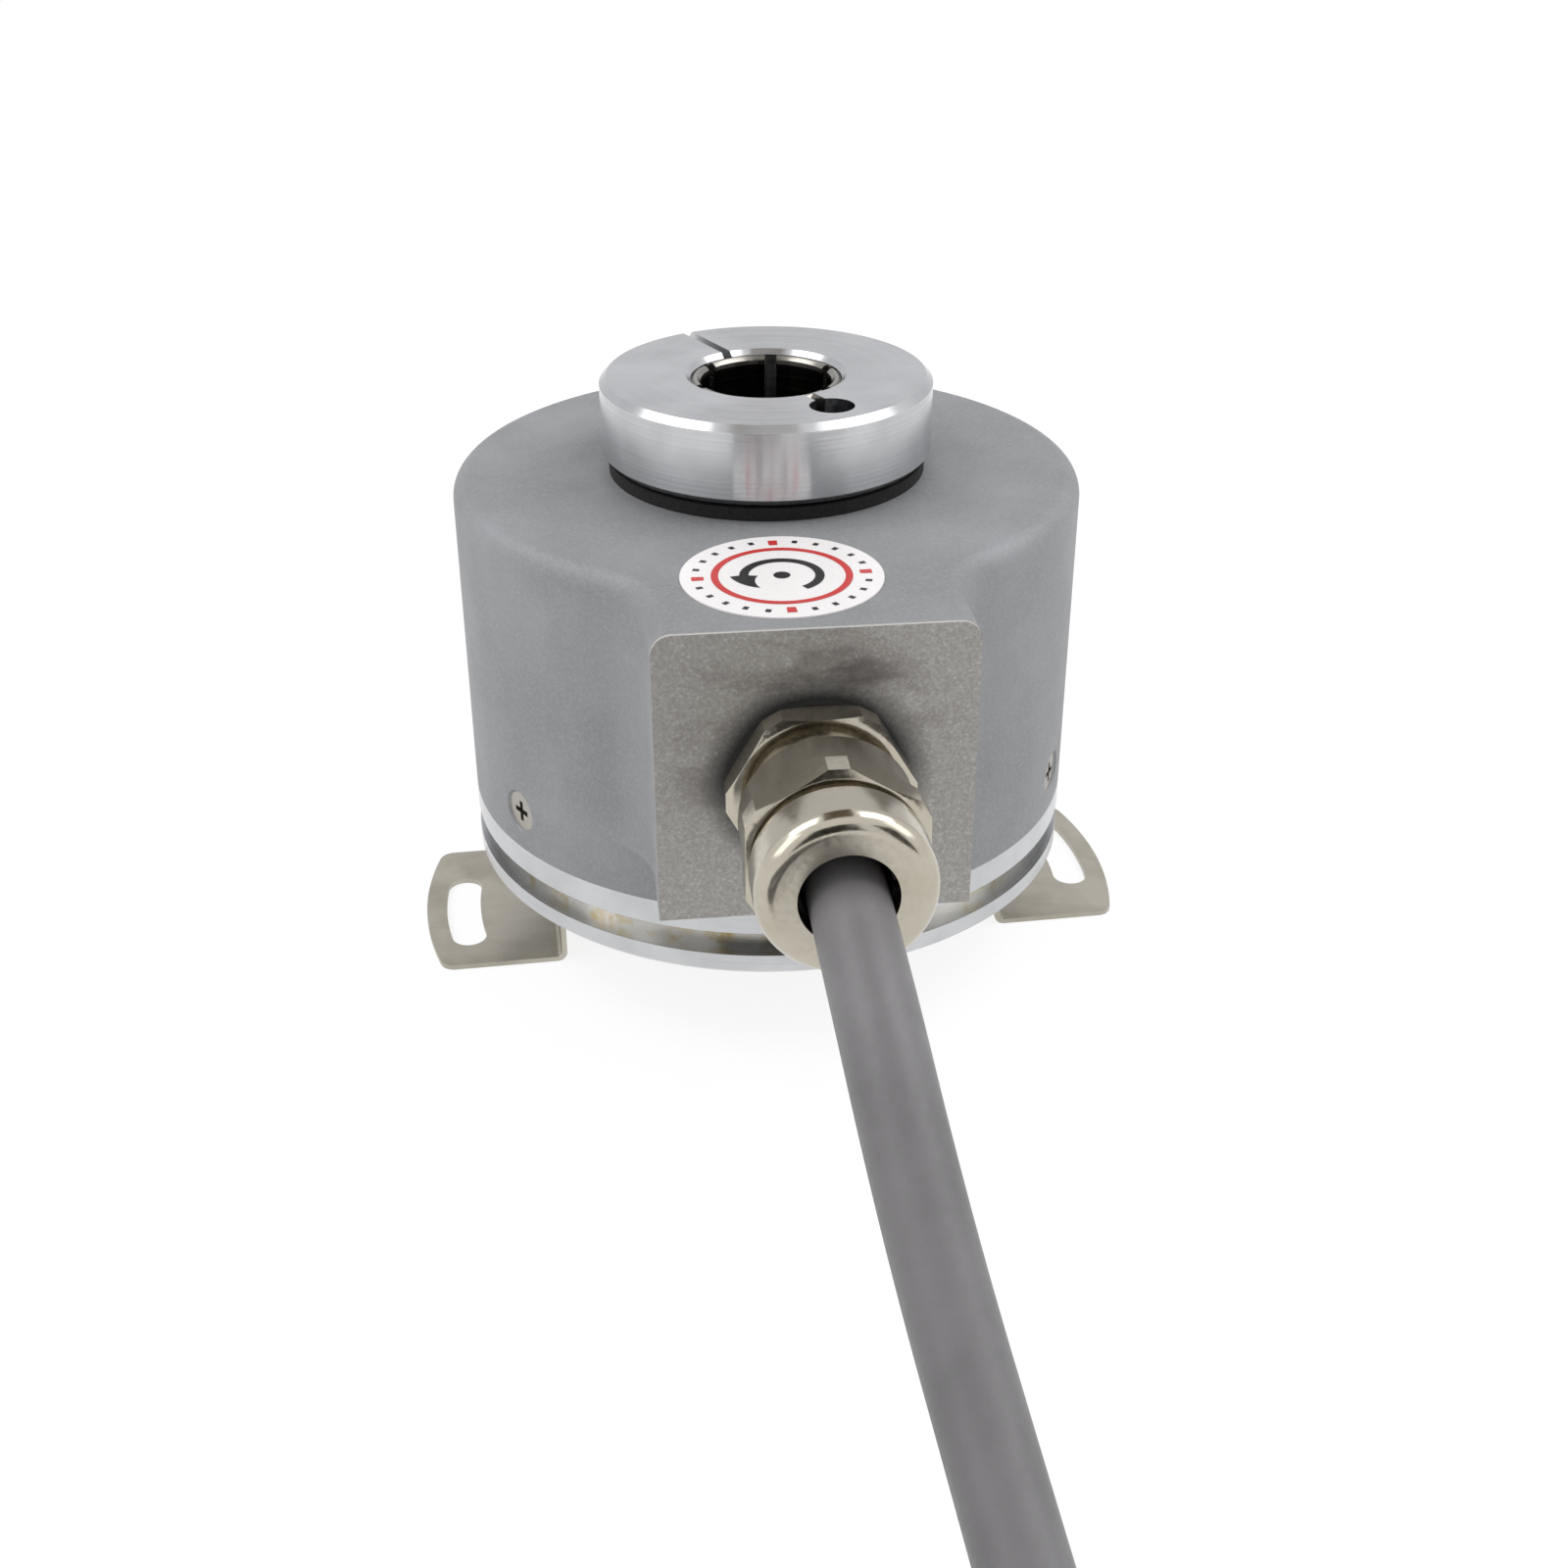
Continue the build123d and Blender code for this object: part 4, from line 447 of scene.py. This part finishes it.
def moulded(name, colour, roughness, shade=0.12, grain=0.4 * MM, depth=0.01 * MM, metallic=0.0):
    """Moulded plastic, rubber or film: one colour with slow clouds and a fine skin, drawn coarse."""
    material, tree, place = blank_material(name)
    slow = {"Vector": place, "Scale": 1 / PLASTIC_CLOUD, "Detail": 4.0, "Roughness": 0.6}
    slow = add(tree, "ShaderNodeTexNoise", slow)["Fac"]
    slow = add(tree, "ShaderNodeMapRange", [slow, 0.3, 0.7])[0]
    tone = {0: slow, 6: linear(colour, 1 - shade), 7: linear(colour)}
    tone = add(tree, "ShaderNodeMix", tone, data_type="RGBA")[2]
    fine = add(tree, "ShaderNodeTexNoise", {"Vector": place, "Scale": 1 / grain, "Detail": 2.0})["Fac"]
    shine = add(tree, "ShaderNodeMapRange", [fine, 0.3, 0.7, roughness * 0.9, roughness * 1.12])[0]
    normal = add(tree, "ShaderNodeBump", {"Height": fine, "Distance": depth, "Strength": 0.6})[0]
    finish = {"Base Color": tone, "Metallic": metallic, "Roughness": shine, "Normal": normal}
    shader = add(tree, "ShaderNodeBsdfPrincipled", finish)["BSDF"]
    add(tree, "ShaderNodeOutputMaterial", [shader])
    return material


def dress(material, *names):
    """Gives CAD nodes this material."""
    for name in names:
        NODES[name].data.materials.clear()
        NODES[name].data.materials.append(material)


def polish(*names):
    """Joins the loose triangles of CAD nodes, so that curved faces shade smoothly and edges stay."""
    for name in names:
        node = NODES[name]
        node.data.shade_smooth()
        weld = node.modifiers.new("joined", "WELD")
        weld.merge_threshold = SAME_CORNER
        split = node.modifiers.new("edges", "EDGE_SPLIT")
        split.split_angle = SHARP_EDGE


def surface(name, points, closed_round=True):
    """A mesh from a grid of points: rows run along the piece, columns run round it."""
    rows, columns = points.shape[:2]
    index = np.arange(rows * columns).reshape(rows, columns)
    right = np.roll(index, -1, axis=1) if closed_round else index[:, 1:]
    left = index if closed_round else index[:, :-1]
    faces = np.stack([left[:-1], right[:-1], right[1:], left[1:]], axis=-1)
    mesh = bpy.data.meshes.new(name)
    mesh.from_pydata(points.reshape(-1, 3).tolist(), [], faces.reshape(-1, 4).tolist())
    shape = bmesh.new()
    shape.from_mesh(mesh)
    bmesh.ops.remove_doubles(shape, verts=shape.verts, dist=0.001 * MM)
    bmesh.ops.recalc_face_normals(shape, faces=shape.faces)
    shape.to_mesh(mesh)
    shape.free()
    mesh.shade_smooth()
    made = bpy.data.objects.new(name, mesh)
    bpy.context.scene.collection.objects.link(made)
    return made


def tube(name, centre, radius, sides):
    """A round tube: path + radius (across cos turn + upward sin turn), each ring square to the path.

    The ends close to a point at their middle.
    """
    centre = np.concatenate([centre[:1], centre, centre[-1:]])
    radius = np.concatenate([[0.0], radius, [0.0]])
    along = np.gradient(centre[1:-1], axis=0)
    along = np.concatenate([along[:1], along, along[-1:]])
    along /= np.linalg.norm(along, axis=1, keepdims=True)
    across = np.cross(along, (0.0, 0.0, 1.0))
    across /= np.linalg.norm(across, axis=1, keepdims=True)
    upward = np.cross(across, along)
    turn = np.linspace(0, 2 * math.pi, sides, endpoint=False)
    ring = across[:, None] * np.cos(turn)[None, :, None] + upward[:, None] * np.sin(turn)[None, :, None]
    return surface(name, centre[:, None] + ring * radius[:, None, None])


def coil_point(settings, turns, radius, level):
    """Points on the coil: centre + radius (cos, sin) of minus the turns, so clockwise from above."""
    angle = -2 * math.pi * np.asarray(turns)
    x = settings.coil_centre[0] + radius * np.cos(angle)
    y = settings.coil_centre[1] + radius * np.sin(angle)
    return np.stack(np.broadcast_arrays(x, y, level), axis=-1)


def coil_route(settings):
    """Turns of the coil: outer, inner, then a layer up, inner, outer, and a last stretch on top.

    Radius and level change along short stretches, each placed where the turn below is out of the way.
    The points lie outside the circle by 1 / cos(half the angle between two), because the curve runs
    through the middles between them. The last point is where the jacket ends, inside the sleeve.
    """
    size = 2 * settings.radius
    inner, outer = settings.coil_radius - settings.radius, settings.coil_radius + settings.radius
    floor = FLOOR_LEVEL + settings.radius
    top = FLOOR_LEVEL + 2 * size + settings.sleeve_radius
    step = 1 / settings.points_per_turn
    overlap = settings.sleeve_overlap / (2 * math.pi * settings.coil_radius)
    turns = np.append(np.arange(step, settings.coil_end, step), settings.coil_end + overlap)
    radius = np.interp(
        turns,
        [0.82, 0.98, 2.58, 2.74, 3.52, 3.68],
        [outer, inner, inner, outer, outer, settings.coil_radius],
    )
    level = np.interp(turns, [1.70, 1.88, 3.50, 3.66], [floor, floor + size, floor + size, top])
    radius[:-1] /= math.cos(math.pi * step)
    return coil_point(settings, turns, radius, level)


class ENCODER_OT_studio(bpy.types.Operator):
    """Camera, floor, sky and lamps"""

    bl_idname = "encoder.studio"
    bl_label = "Studio"

    def execute(self, context):
        settings = context.scene.encoder_studio
        lens = bpy.data.cameras.new("camera")
        lens.lens = settings.lens
        lens.sensor_width = 36.0
        lens.clip_start = 5 * MM
        camera = bpy.data.objects.new("camera", lens)
        context.scene.collection.objects.link(camera)
        tilt = math.pi / 2 - settings.camera_drop
        aim = Euler((tilt, 0, -settings.camera_heading)).to_matrix().to_4x4()
        roll = Matrix.Rotation(settings.camera_roll, 4, "Z")
        camera.matrix_world = Matrix.Translation(settings.camera_place) @ aim @ roll
        context.scene.camera = camera

        half = settings.floor_size / 2
        corners = [(x * half, y * half, FLOOR_LEVEL) for x, y in ((-1, -1), (1, -1), (1, 1), (-1, 1))]
        mesh = bpy.data.meshes.new("floor")
        mesh.from_pydata(corners, [], [(0, 1, 2, 3)])
        floor = bpy.data.objects.new("floor", mesh)
        context.scene.collection.objects.link(floor)
        floor.data.materials.append(paper(settings))
        sky(context.scene, settings)
        for name, (middle, half_width, half_height) in CARDS.items():
            card(name, middle, half_width, half_height, getattr(settings, name))
        for name, (place, size, power) in LAMPS.items():
            light = bpy.data.lights.new(name, "AREA")
            light.energy = getattr(settings, power)
            light.size = size
            lamp = bpy.data.objects.new(name, light)
            lamp.location = place
            lamp.rotation_euler = (-Vector(place)).to_track_quat("-Z", "Y").to_euler()
            context.scene.collection.objects.link(lamp)
        context.scene.view_settings.view_transform = "Standard"
        return {"FINISHED"}


def seen_rays(tree):
    """1 for what the camera sees, straight, mirrored or through glass, and 0 for light on things."""
    path = add(tree, "ShaderNodeLightPath")
    direct = [path["Is Camera Ray"], path["Is Glossy Ray"]]
    direct = add(tree, "ShaderNodeMath", direct, operation="MAXIMUM")[0]
    return add(tree, "ShaderNodeMath", [direct, path["Is Transmission Ray"]], operation="MAXIMUM")[0]


def paper(settings):
    """White paper: it looks white wherever it is seen, and keeps part of the object's shadow."""
    material, tree, _ = blank_material("white_paper")
    white = linear(settings.floor_colour)
    lit = add(tree, "ShaderNodeBsdfDiffuse", {"Color": white})[0]
    glow = add(tree, "ShaderNodeEmission", {"Color": white, "Strength": settings.paper_glow})[0]
    share = add(tree, "ShaderNodeMath", [seen_rays(tree), PAPER_SHARE], operation="MULTIPLY")[0]
    both = add(tree, "ShaderNodeMixShader", [share, lit, glow])[0]
    add(tree, "ShaderNodeOutputMaterial", {"Surface": both})
    return material


def sky(scene, settings):
    """White where it is seen, and a softer light on the object."""
    world = bpy.data.worlds.new("studio")
    world.use_nodes = True
    tree = world.node_tree
    tree.nodes.clear()
    strength = [seen_rays(tree), 0.0, 1.0, settings.sky_strength, 1.0]
    strength = add(tree, "ShaderNodeMapRange", strength)[0]
    light = add(tree, "ShaderNodeBackground", {"Color": linear("#ffffff"), "Strength": strength})[0]
    add(tree, "ShaderNodeOutputWorld", {"Surface": light})
    scene.world = world


def card(name, middle, half_width, half_height, colour):
    """A flat card that only mirrors show: it gives the metal the greys of a room beyond the paper."""
    material, tree, _ = blank_material(name)
    glow = add(tree, "ShaderNodeEmission", {"Color": linear(colour), "Strength": 1.0})[0]
    add(tree, "ShaderNodeOutputMaterial", {"Surface": glow})
    middle, along, upward = Vector(middle), Vector(half_width), Vector(half_height)
    below, above = middle - upward, middle + upward
    corners = [below - along, below + along, above + along, above - along]
    mesh = bpy.data.meshes.new(name)
    mesh.from_pydata(corners, [], [(0, 1, 2, 3)])
    mesh.materials.append(material)
    board = bpy.data.objects.new(name, mesh)
    board.visible_camera = False
    board.visible_diffuse = False
    board.visible_transmission = False
    board.visible_shadow = False
    bpy.context.scene.collection.objects.link(board)


class ENCODER_OT_housing(bpy.types.Operator):
    """Cover with its cable block, and what closes it"""

    bl_idname = "encoder.housing"
    bl_label = "Housing"

    def execute(self, context):
        metal = context.scene.encoder_metal
        dress(cast_housing(context.scene.encoder_housing), "housing_cover")
        # Turned aluminium: two bright bands, and a groove between them darkened with painted shade and dotted
        # with warm painted reflections
        flange = turned_metal("turned_flange", metal.aluminium, metal.turning_pitch, 0.2, FLANGE_GROOVE)
        dress(flange, "flange_base")
        # Zinc plated steel: a soft grey shine
        dress(plated_metal("zinc_screws", metal.screw_steel, 0.32), "cover_screws", "coupling_screws")
        # Moulded nitrile rubber: black, with hardly any shine, and darker than rubber is, as painted shade in
        # the gap under the clamping ring
        dress(moulded("nitrile_rubber", "#0a0a0a", 0.8), "upper_seal", "lower_seal", "cover_o_ring")
        polish("housing_cover", "flange_base", "cover_screws", "coupling_screws", "upper_seal")
        return {"FINISHED"}


class ENCODER_OT_rotor(bpy.types.Operator):
    """Hollow shaft with its clamping ring and bearings"""

    bl_idname = "encoder.rotor"
    bl_label = "Rotor"

    def execute(self, context):
        metal = context.scene.encoder_metal
        # Turned aluminium: bright, with light drawn out across the rings
        dress(turned_metal("turned_clamping_ring", metal.aluminium, metal.turning_pitch, 0.2), "clamp_ring")
        # Ground stainless steel: greyer than the ring, with painted shade that makes its bore nearly black
        shaft = turned_metal("ground_shaft", metal.shaft_steel, metal.turning_pitch, 0.22, SHAFT_BORE)
        dress(shaft, "hollow_shaft")
        # Blackened steel: dark grey with a soft shine
        dress(plated_metal("blackened_screw", "#4c4b4a", 0.4, dull="#383736"), "clamp_screw")
        bearings = ("lower_bearing", "upper_bearing")
        races = [f"{bearing}_{part}_race" for bearing in bearings for part in ("outer", "inner")]
        balls = [f"{bearing}_balls" for bearing in bearings]
        shields = [f"{bearing}_shields" for bearing in bearings]
        cages = [f"{bearing}_cage" for bearing in bearings]
        # Ground bearing steel: bright, with very fine rings
        ground = turned_metal("ground_races", metal.bearing_steel, metal.turning_pitch, 0.18)
        dress(ground, *races, *shields)
        # Lapped bearing steel: nearly a mirror
        dress(plated_metal("polished_balls", metal.bearing_steel, 0.08), *balls)
        # Moulded polyamide: cream and half matte
        dress(moulded("polyamide_cage", "#c9bfa4", 0.5), *cages)
        polish("clamp_ring", "hollow_shaft", "clamp_screw", *races, *balls)
        return {"FINISHED"}


class ENCODER_OT_optics(bpy.types.Operator):
    """Code disc, light source, receiver and circuit board"""

    bl_idname = "encoder.optics"
    bl_label = "Optics"

    def execute(self, context):
        metal = context.scene.encoder_metal
        # Turned aluminium: softer than the clamping ring, with the same fine rings
        hub = turned_metal("turned_disc_hub", metal.aluminium, metal.turning_pitch, 0.25)
        dress(hub, "disc_hub", "disc_clamp_plate")
        # Glass with a chrome layer: dark, smooth and very shiny
        dress(moulded("chromed_glass", "#5d6a6e", 0.08, metallic=0.5), "code_disc", "mask_plate")
        # Moulded epoxy: black and half matte
        dress(moulded("black_epoxy", "#1b1b1d", 0.55), "led_holder", "receiver", "board_parts")
        # Cast resin: pale and glossy
        dress(moulded("clear_lens", "#dfe6ea", 0.1), "light_source")
        # Printed resist on glass cloth: green with cloudy shades, half glossy
        dress(moulded("solder_resist", "#14532d", 0.35, shade=0.25), "circuit_board")
        # Moulded nylon: ivory and half matte
        dress(moulded("ivory_nylon", "#ded8c4", 0.5), "board_connector", "lead_plug")
        # Extruded PVC: brown and half matte
        dress(moulded("core_insulation", "#8a5a33", 0.45), "inner_leads")
        # Nickel plated steel: a soft grey shine
        nickel = plated_metal("nickel_spacers", metal.screw_steel, 0.3)
        dress(nickel, "board_pillars", "board_screws", "disc_screws", "retaining_ring")
        return {"FINISHED"}


class ENCODER_OT_gland(bpy.types.Operator):
    """Nickel plated gland with its rubber seal"""

    bl_idname = "encoder.gland"
    bl_label = "Gland"

    def execute(self, context):
        metal = context.scene.encoder_metal
        # Nickel plated brass: shiny and a little warm
        dress(plated_metal("nickel_on_brass", metal.plating, 0.16), "gland_body", "gland_nut")
        # Moulded chloroprene rubber: nearly black, with little shine
        dress(moulded("gland_rubber", "#1a1a1a", 0.65), "gland_washer", "gland_seal")
        # Moulded nylon: nearly black and half matte
        dress(moulded("gland_claw_nylon", "#232325", 0.5), "gland_claw")
        polish("gland_body", "gland_nut", "gland_washer", "gland_seal", "gland_claw")
        return {"FINISHED"}


class ENCODER_OT_coupling(bpy.types.Operator):
    """Bent spring sheet with two slotted tabs"""

    bl_idname = "encoder.coupling"
    bl_label = "Coupling"

    def execute(self, context):
        metal = context.scene.encoder_metal
        dress(rolled_sheet("rolled_spring_steel", metal.sheet_steel, 0.34), "coupling_plate")
        polish("coupling_plate")
        return {"FINISHED"}


class ENCODER_OT_cable(bpy.types.Operator):
    """Cable from the gland to its coil"""

    bl_idname = "encoder.cable"
    bl_label = "Cable"

    def execute(self, context):
        settings = context.scene.encoder_cable
        route = np.concatenate([np.array(CABLE_ROUTE_MM) * MM, coil_route(settings)])
        curve = bpy.data.curves.new("cable_run", "CURVE")
        curve.dimensions = "3D"
        spline = curve.splines.new("NURBS")
        spline.points.add(len(route) - 1)
        spline.points.foreach_set("co", np.c_[route, np.ones(len(route))].ravel())
        spline.order_u = 3
        spline.use_endpoint_u = True
        spline.resolution_u = 8
        curve.bevel_depth = settings.radius
        curve.bevel_resolution = 8
        curve.use_fill_caps = True
        run = bpy.data.objects.new("cable_run", curve)
        context.scene.collection.objects.link(run)
        # Extruded PVC: grey and half matte, a little cloudy
        curve.materials.append(moulded("pvc_jacket", settings.jacket, 0.48, shade=0.2, grain=0.5 * MM))
        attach(run, "stator")
        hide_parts("cable", "cable_coil", "cable_tail")
        pieces = [cable_sleeve(settings), *cable_cores(settings)]
        return {"FINISHED"}


def cable_sleeve(settings):
    """Shrunk sleeve round the jacket's end: full in the middle, drawn in at its ends.

    Radius = thin + (full - thin + ripple) (1 - exp(-distance from the end / drawn_in)).
    """
    middle = settings.coil_radius
    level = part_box("cable_end_sleeve")[0].z + settings.sleeve_radius
    share = np.linspace(0, 1, 40)
    turns = settings.coil_end + share * settings.sleeve_length / (2 * math.pi * middle)
    edge = np.minimum(share, 1 - share) * settings.sleeve_length
    drawn_in, ripple_height, film = 0.6 * MM, 0.03 * MM, 0.15 * MM
    swell = 1 - np.exp(-edge / drawn_in)
    ripple = ripple_height * np.sin(share * 34)
    thin = settings.radius + film
    radius = thin + (settings.sleeve_radius - ripple_height - thin + ripple) * swell
    sleeve = tube("shrunk_sleeve", coil_point(settings, turns, middle, level), radius, 32)
    # Shrunk polyolefin: black with a soft shine
    sleeve.data.materials.append(moulded("polyolefin_sleeve", "#1c1c1d", 0.42))
    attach(sleeve, "stator")
    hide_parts("cable_end_sleeve")
    return sleeve


def cable_cores(settings):
    """Six insulated cores that leave the sleeve in rows of four and two, each with a tinned tip.

    Each lies off the coil's circle by shift (1 + 0.35 share^2), with share from 0 to 1 along it, so
    that they spread a little. They are cut to lengths that differ by up to an eighth.
    """
    # Tinned copper strands: pale and soft, warm in places
    tin = plated_metal("tinned_copper", "#c9c4bb", 0.3, grain=0.2 * MM, dull="#a79c8c")
    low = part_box("cable_cores")[0]
    share = np.linspace(0, 1, 48)
    start = settings.coil_end + settings.sleeve_length / (2 * math.pi * settings.coil_radius)
    pieces = []
    for number, colour in enumerate(CORE_COLOURS):
        row, place = divmod(number, 4)
        count = 4 if row == 0 else 2
        shift = (place - (count - 1) / 2) * settings.core_pitch
        level = low.z + settings.core_radius + row * settings.core_pitch
        length = settings.core_length * (1 - 0.03 * ((number * 2) % 5))
        turns = start + share * length / (2 * math.pi * settings.coil_radius)
        spread = settings.coil_radius + shift * (1 + 0.35 * share**2)
        centre = coil_point(settings, turns, spread, level)
        cut = int(len(share) * (1 - settings.tip_length / length))
        thick = np.full(cut + 1, settings.core_radius)
        insulated = tube(f"core_{number + 1}", centre[: cut + 1], thick, 14)
        # Extruded PVC: full colour with a soft shine
        insulated.data.materials.append(moulded(f"core_insulation_{number + 1}", colour, 0.4))
        thin = np.full(len(share) - cut + 1, settings.tip_radius)
        bare = tube(f"core_tip_{number + 1}", centre[cut - 1 :], thin, 12)
        bare.data.materials.append(tin)
        pieces += [insulated, bare]
    for piece in pieces:
        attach(piece, "stator")
    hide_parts("cable_cores")
    return pieces


def flat_band(name, middle, inner, outer, start, end, steps):
    """A flat printed stroke: middle + radius (cos, sin) of the turn, from start to end, inner to outer."""
    turn = np.linspace(start, end, steps)[:, None]
    radius = np.stack(np.broadcast_arrays(inner, outer), axis=-1) * np.ones((steps, 1))
    x = middle[0] + radius * np.cos(turn)
    y = middle[1] + radius * np.sin(turn)
    stroke = surface(name, np.stack([x, y, np.full_like(x, middle[2])], axis=-1), closed_round=False)
    if stroke.data.polygons[0].normal.z < 0:
        stroke.data.flip_normals()
    return stroke


class ENCODER_OT_label(bpy.types.Operator):
    """White film label with a graduated ring and a turning arrow"""

    bl_idname = "encoder.label"
    bl_label = "Label"

    def execute(self, context):
        settings = context.scene.encoder_label
        low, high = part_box("label_disc")
        middle = ((low.x + high.x) / 2, (low.y + high.y) / 2, high.z + settings.print_lift)
        full_turn = 2 * math.pi
        # Calendered vinyl: white, even and half glossy
        film = moulded("vinyl_film", settings.film, 0.3, shade=0.03, depth=SMOOTH_SKIN)
        dress(film, "label_disc")
        # Screen printed ink: full, even colour, a little less glossy than the film
        red = moulded("red_ink", settings.red, 0.35, shade=0.05, depth=SMOOTH_SKIN)
        black = moulded("black_ink", settings.black, 0.35, shade=0.05, depth=SMOOTH_SKIN)

        inner = settings.ring_radius - settings.ring_width / 2
        outer = settings.ring_radius + settings.ring_width / 2
        strokes = [(flat_band("label_ring", middle, inner, outer, 0, full_turn, 96), red)]
        for tick in range(settings.ticks):
            turn = full_turn * tick / settings.ticks
            quarter = tick % (settings.ticks // 4) == 0
            inner = settings.tick_radius - (settings.long_tick if quarter else settings.tick_length)
            half = LONG_TICK_HALF_TURN if quarter else TICK_HALF_TURN
            name = f"label_tick_{tick + 1}"
            stroke = flat_band(name, middle, inner, settings.tick_radius, turn - half, turn + half, 4)
            strokes.append((stroke, red if quarter else black))

        # The arrow's line is even up to its head, which narrows to a point
        share = np.linspace(0, 1, 96)
        head = np.clip((share - ARROW_HEAD_FROM) / (1 - ARROW_HEAD_FROM), 0, 1)
        half = np.where(share < ARROW_HEAD_FROM, settings.arrow_half, settings.head_half * (1 - head))
        inner, outer = settings.arrow_radius - half, settings.arrow_radius + half
        arrow = flat_band("label_arrow", middle, inner, outer, ARROW_START, ARROW_END, 96)
        dot = flat_band("label_dot", middle, 0.0, settings.dot_radius, 0, full_turn, 48)
        strokes += [(arrow, black), (dot, black)]
        for stroke, ink in strokes:
            stroke.data.materials.append(ink)
            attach(stroke, "stator")
        return {"FINISHED"}


class ENCODER_PT_panel(bpy.types.Panel):
    """Lists the steps that make the encoder"""

    bl_label = "Encoder"
    bl_idname = "ENCODER_PT_panel"
    bl_space_type = "VIEW_3D"
    bl_region_type = "UI"
    bl_category = "Encoder"

    def draw(self, context):
        for step in STEPS:
            self.layout.operator(step.bl_idname)


SETTINGS = {
    "encoder_studio": StudioSettings,
    "encoder_housing": HousingSettings,
    "encoder_metal": MetalSettings,
    "encoder_cable": CableSettings,
    "encoder_label": LabelSettings,
}
STEPS = (
    ENCODER_OT_studio,
    ENCODER_OT_cable,
    ENCODER_OT_housing,
    ENCODER_OT_rotor,
    ENCODER_OT_optics,
    ENCODER_OT_gland,
    ENCODER_OT_coupling,
    ENCODER_OT_label,
)


def register():
    for group in SETTINGS.values():
        bpy.utils.register_class(group)
    for name, group in SETTINGS.items():
        setattr(bpy.types.Scene, name, PointerProperty(type=group))
    for part in (*STEPS, ENCODER_PT_panel):
        bpy.utils.register_class(part)


def unregister():
    for part in (ENCODER_PT_panel, *reversed(STEPS)):
        bpy.utils.unregister_class(part)
    for name in SETTINGS:
        delattr(bpy.types.Scene, name)
    for group in reversed(SETTINGS.values()):
        bpy.utils.unregister_class(group)


def main():
    """Makes every piece in order."""
    register()
    bpy.ops.encoder.studio()
    bpy.ops.encoder.cable()
    bpy.ops.encoder.housing()
    bpy.ops.encoder.rotor()
    bpy.ops.encoder.optics()
    bpy.ops.encoder.gland()
    bpy.ops.encoder.coupling()
    bpy.ops.encoder.label()


if __name__ == "__main__":
    main()
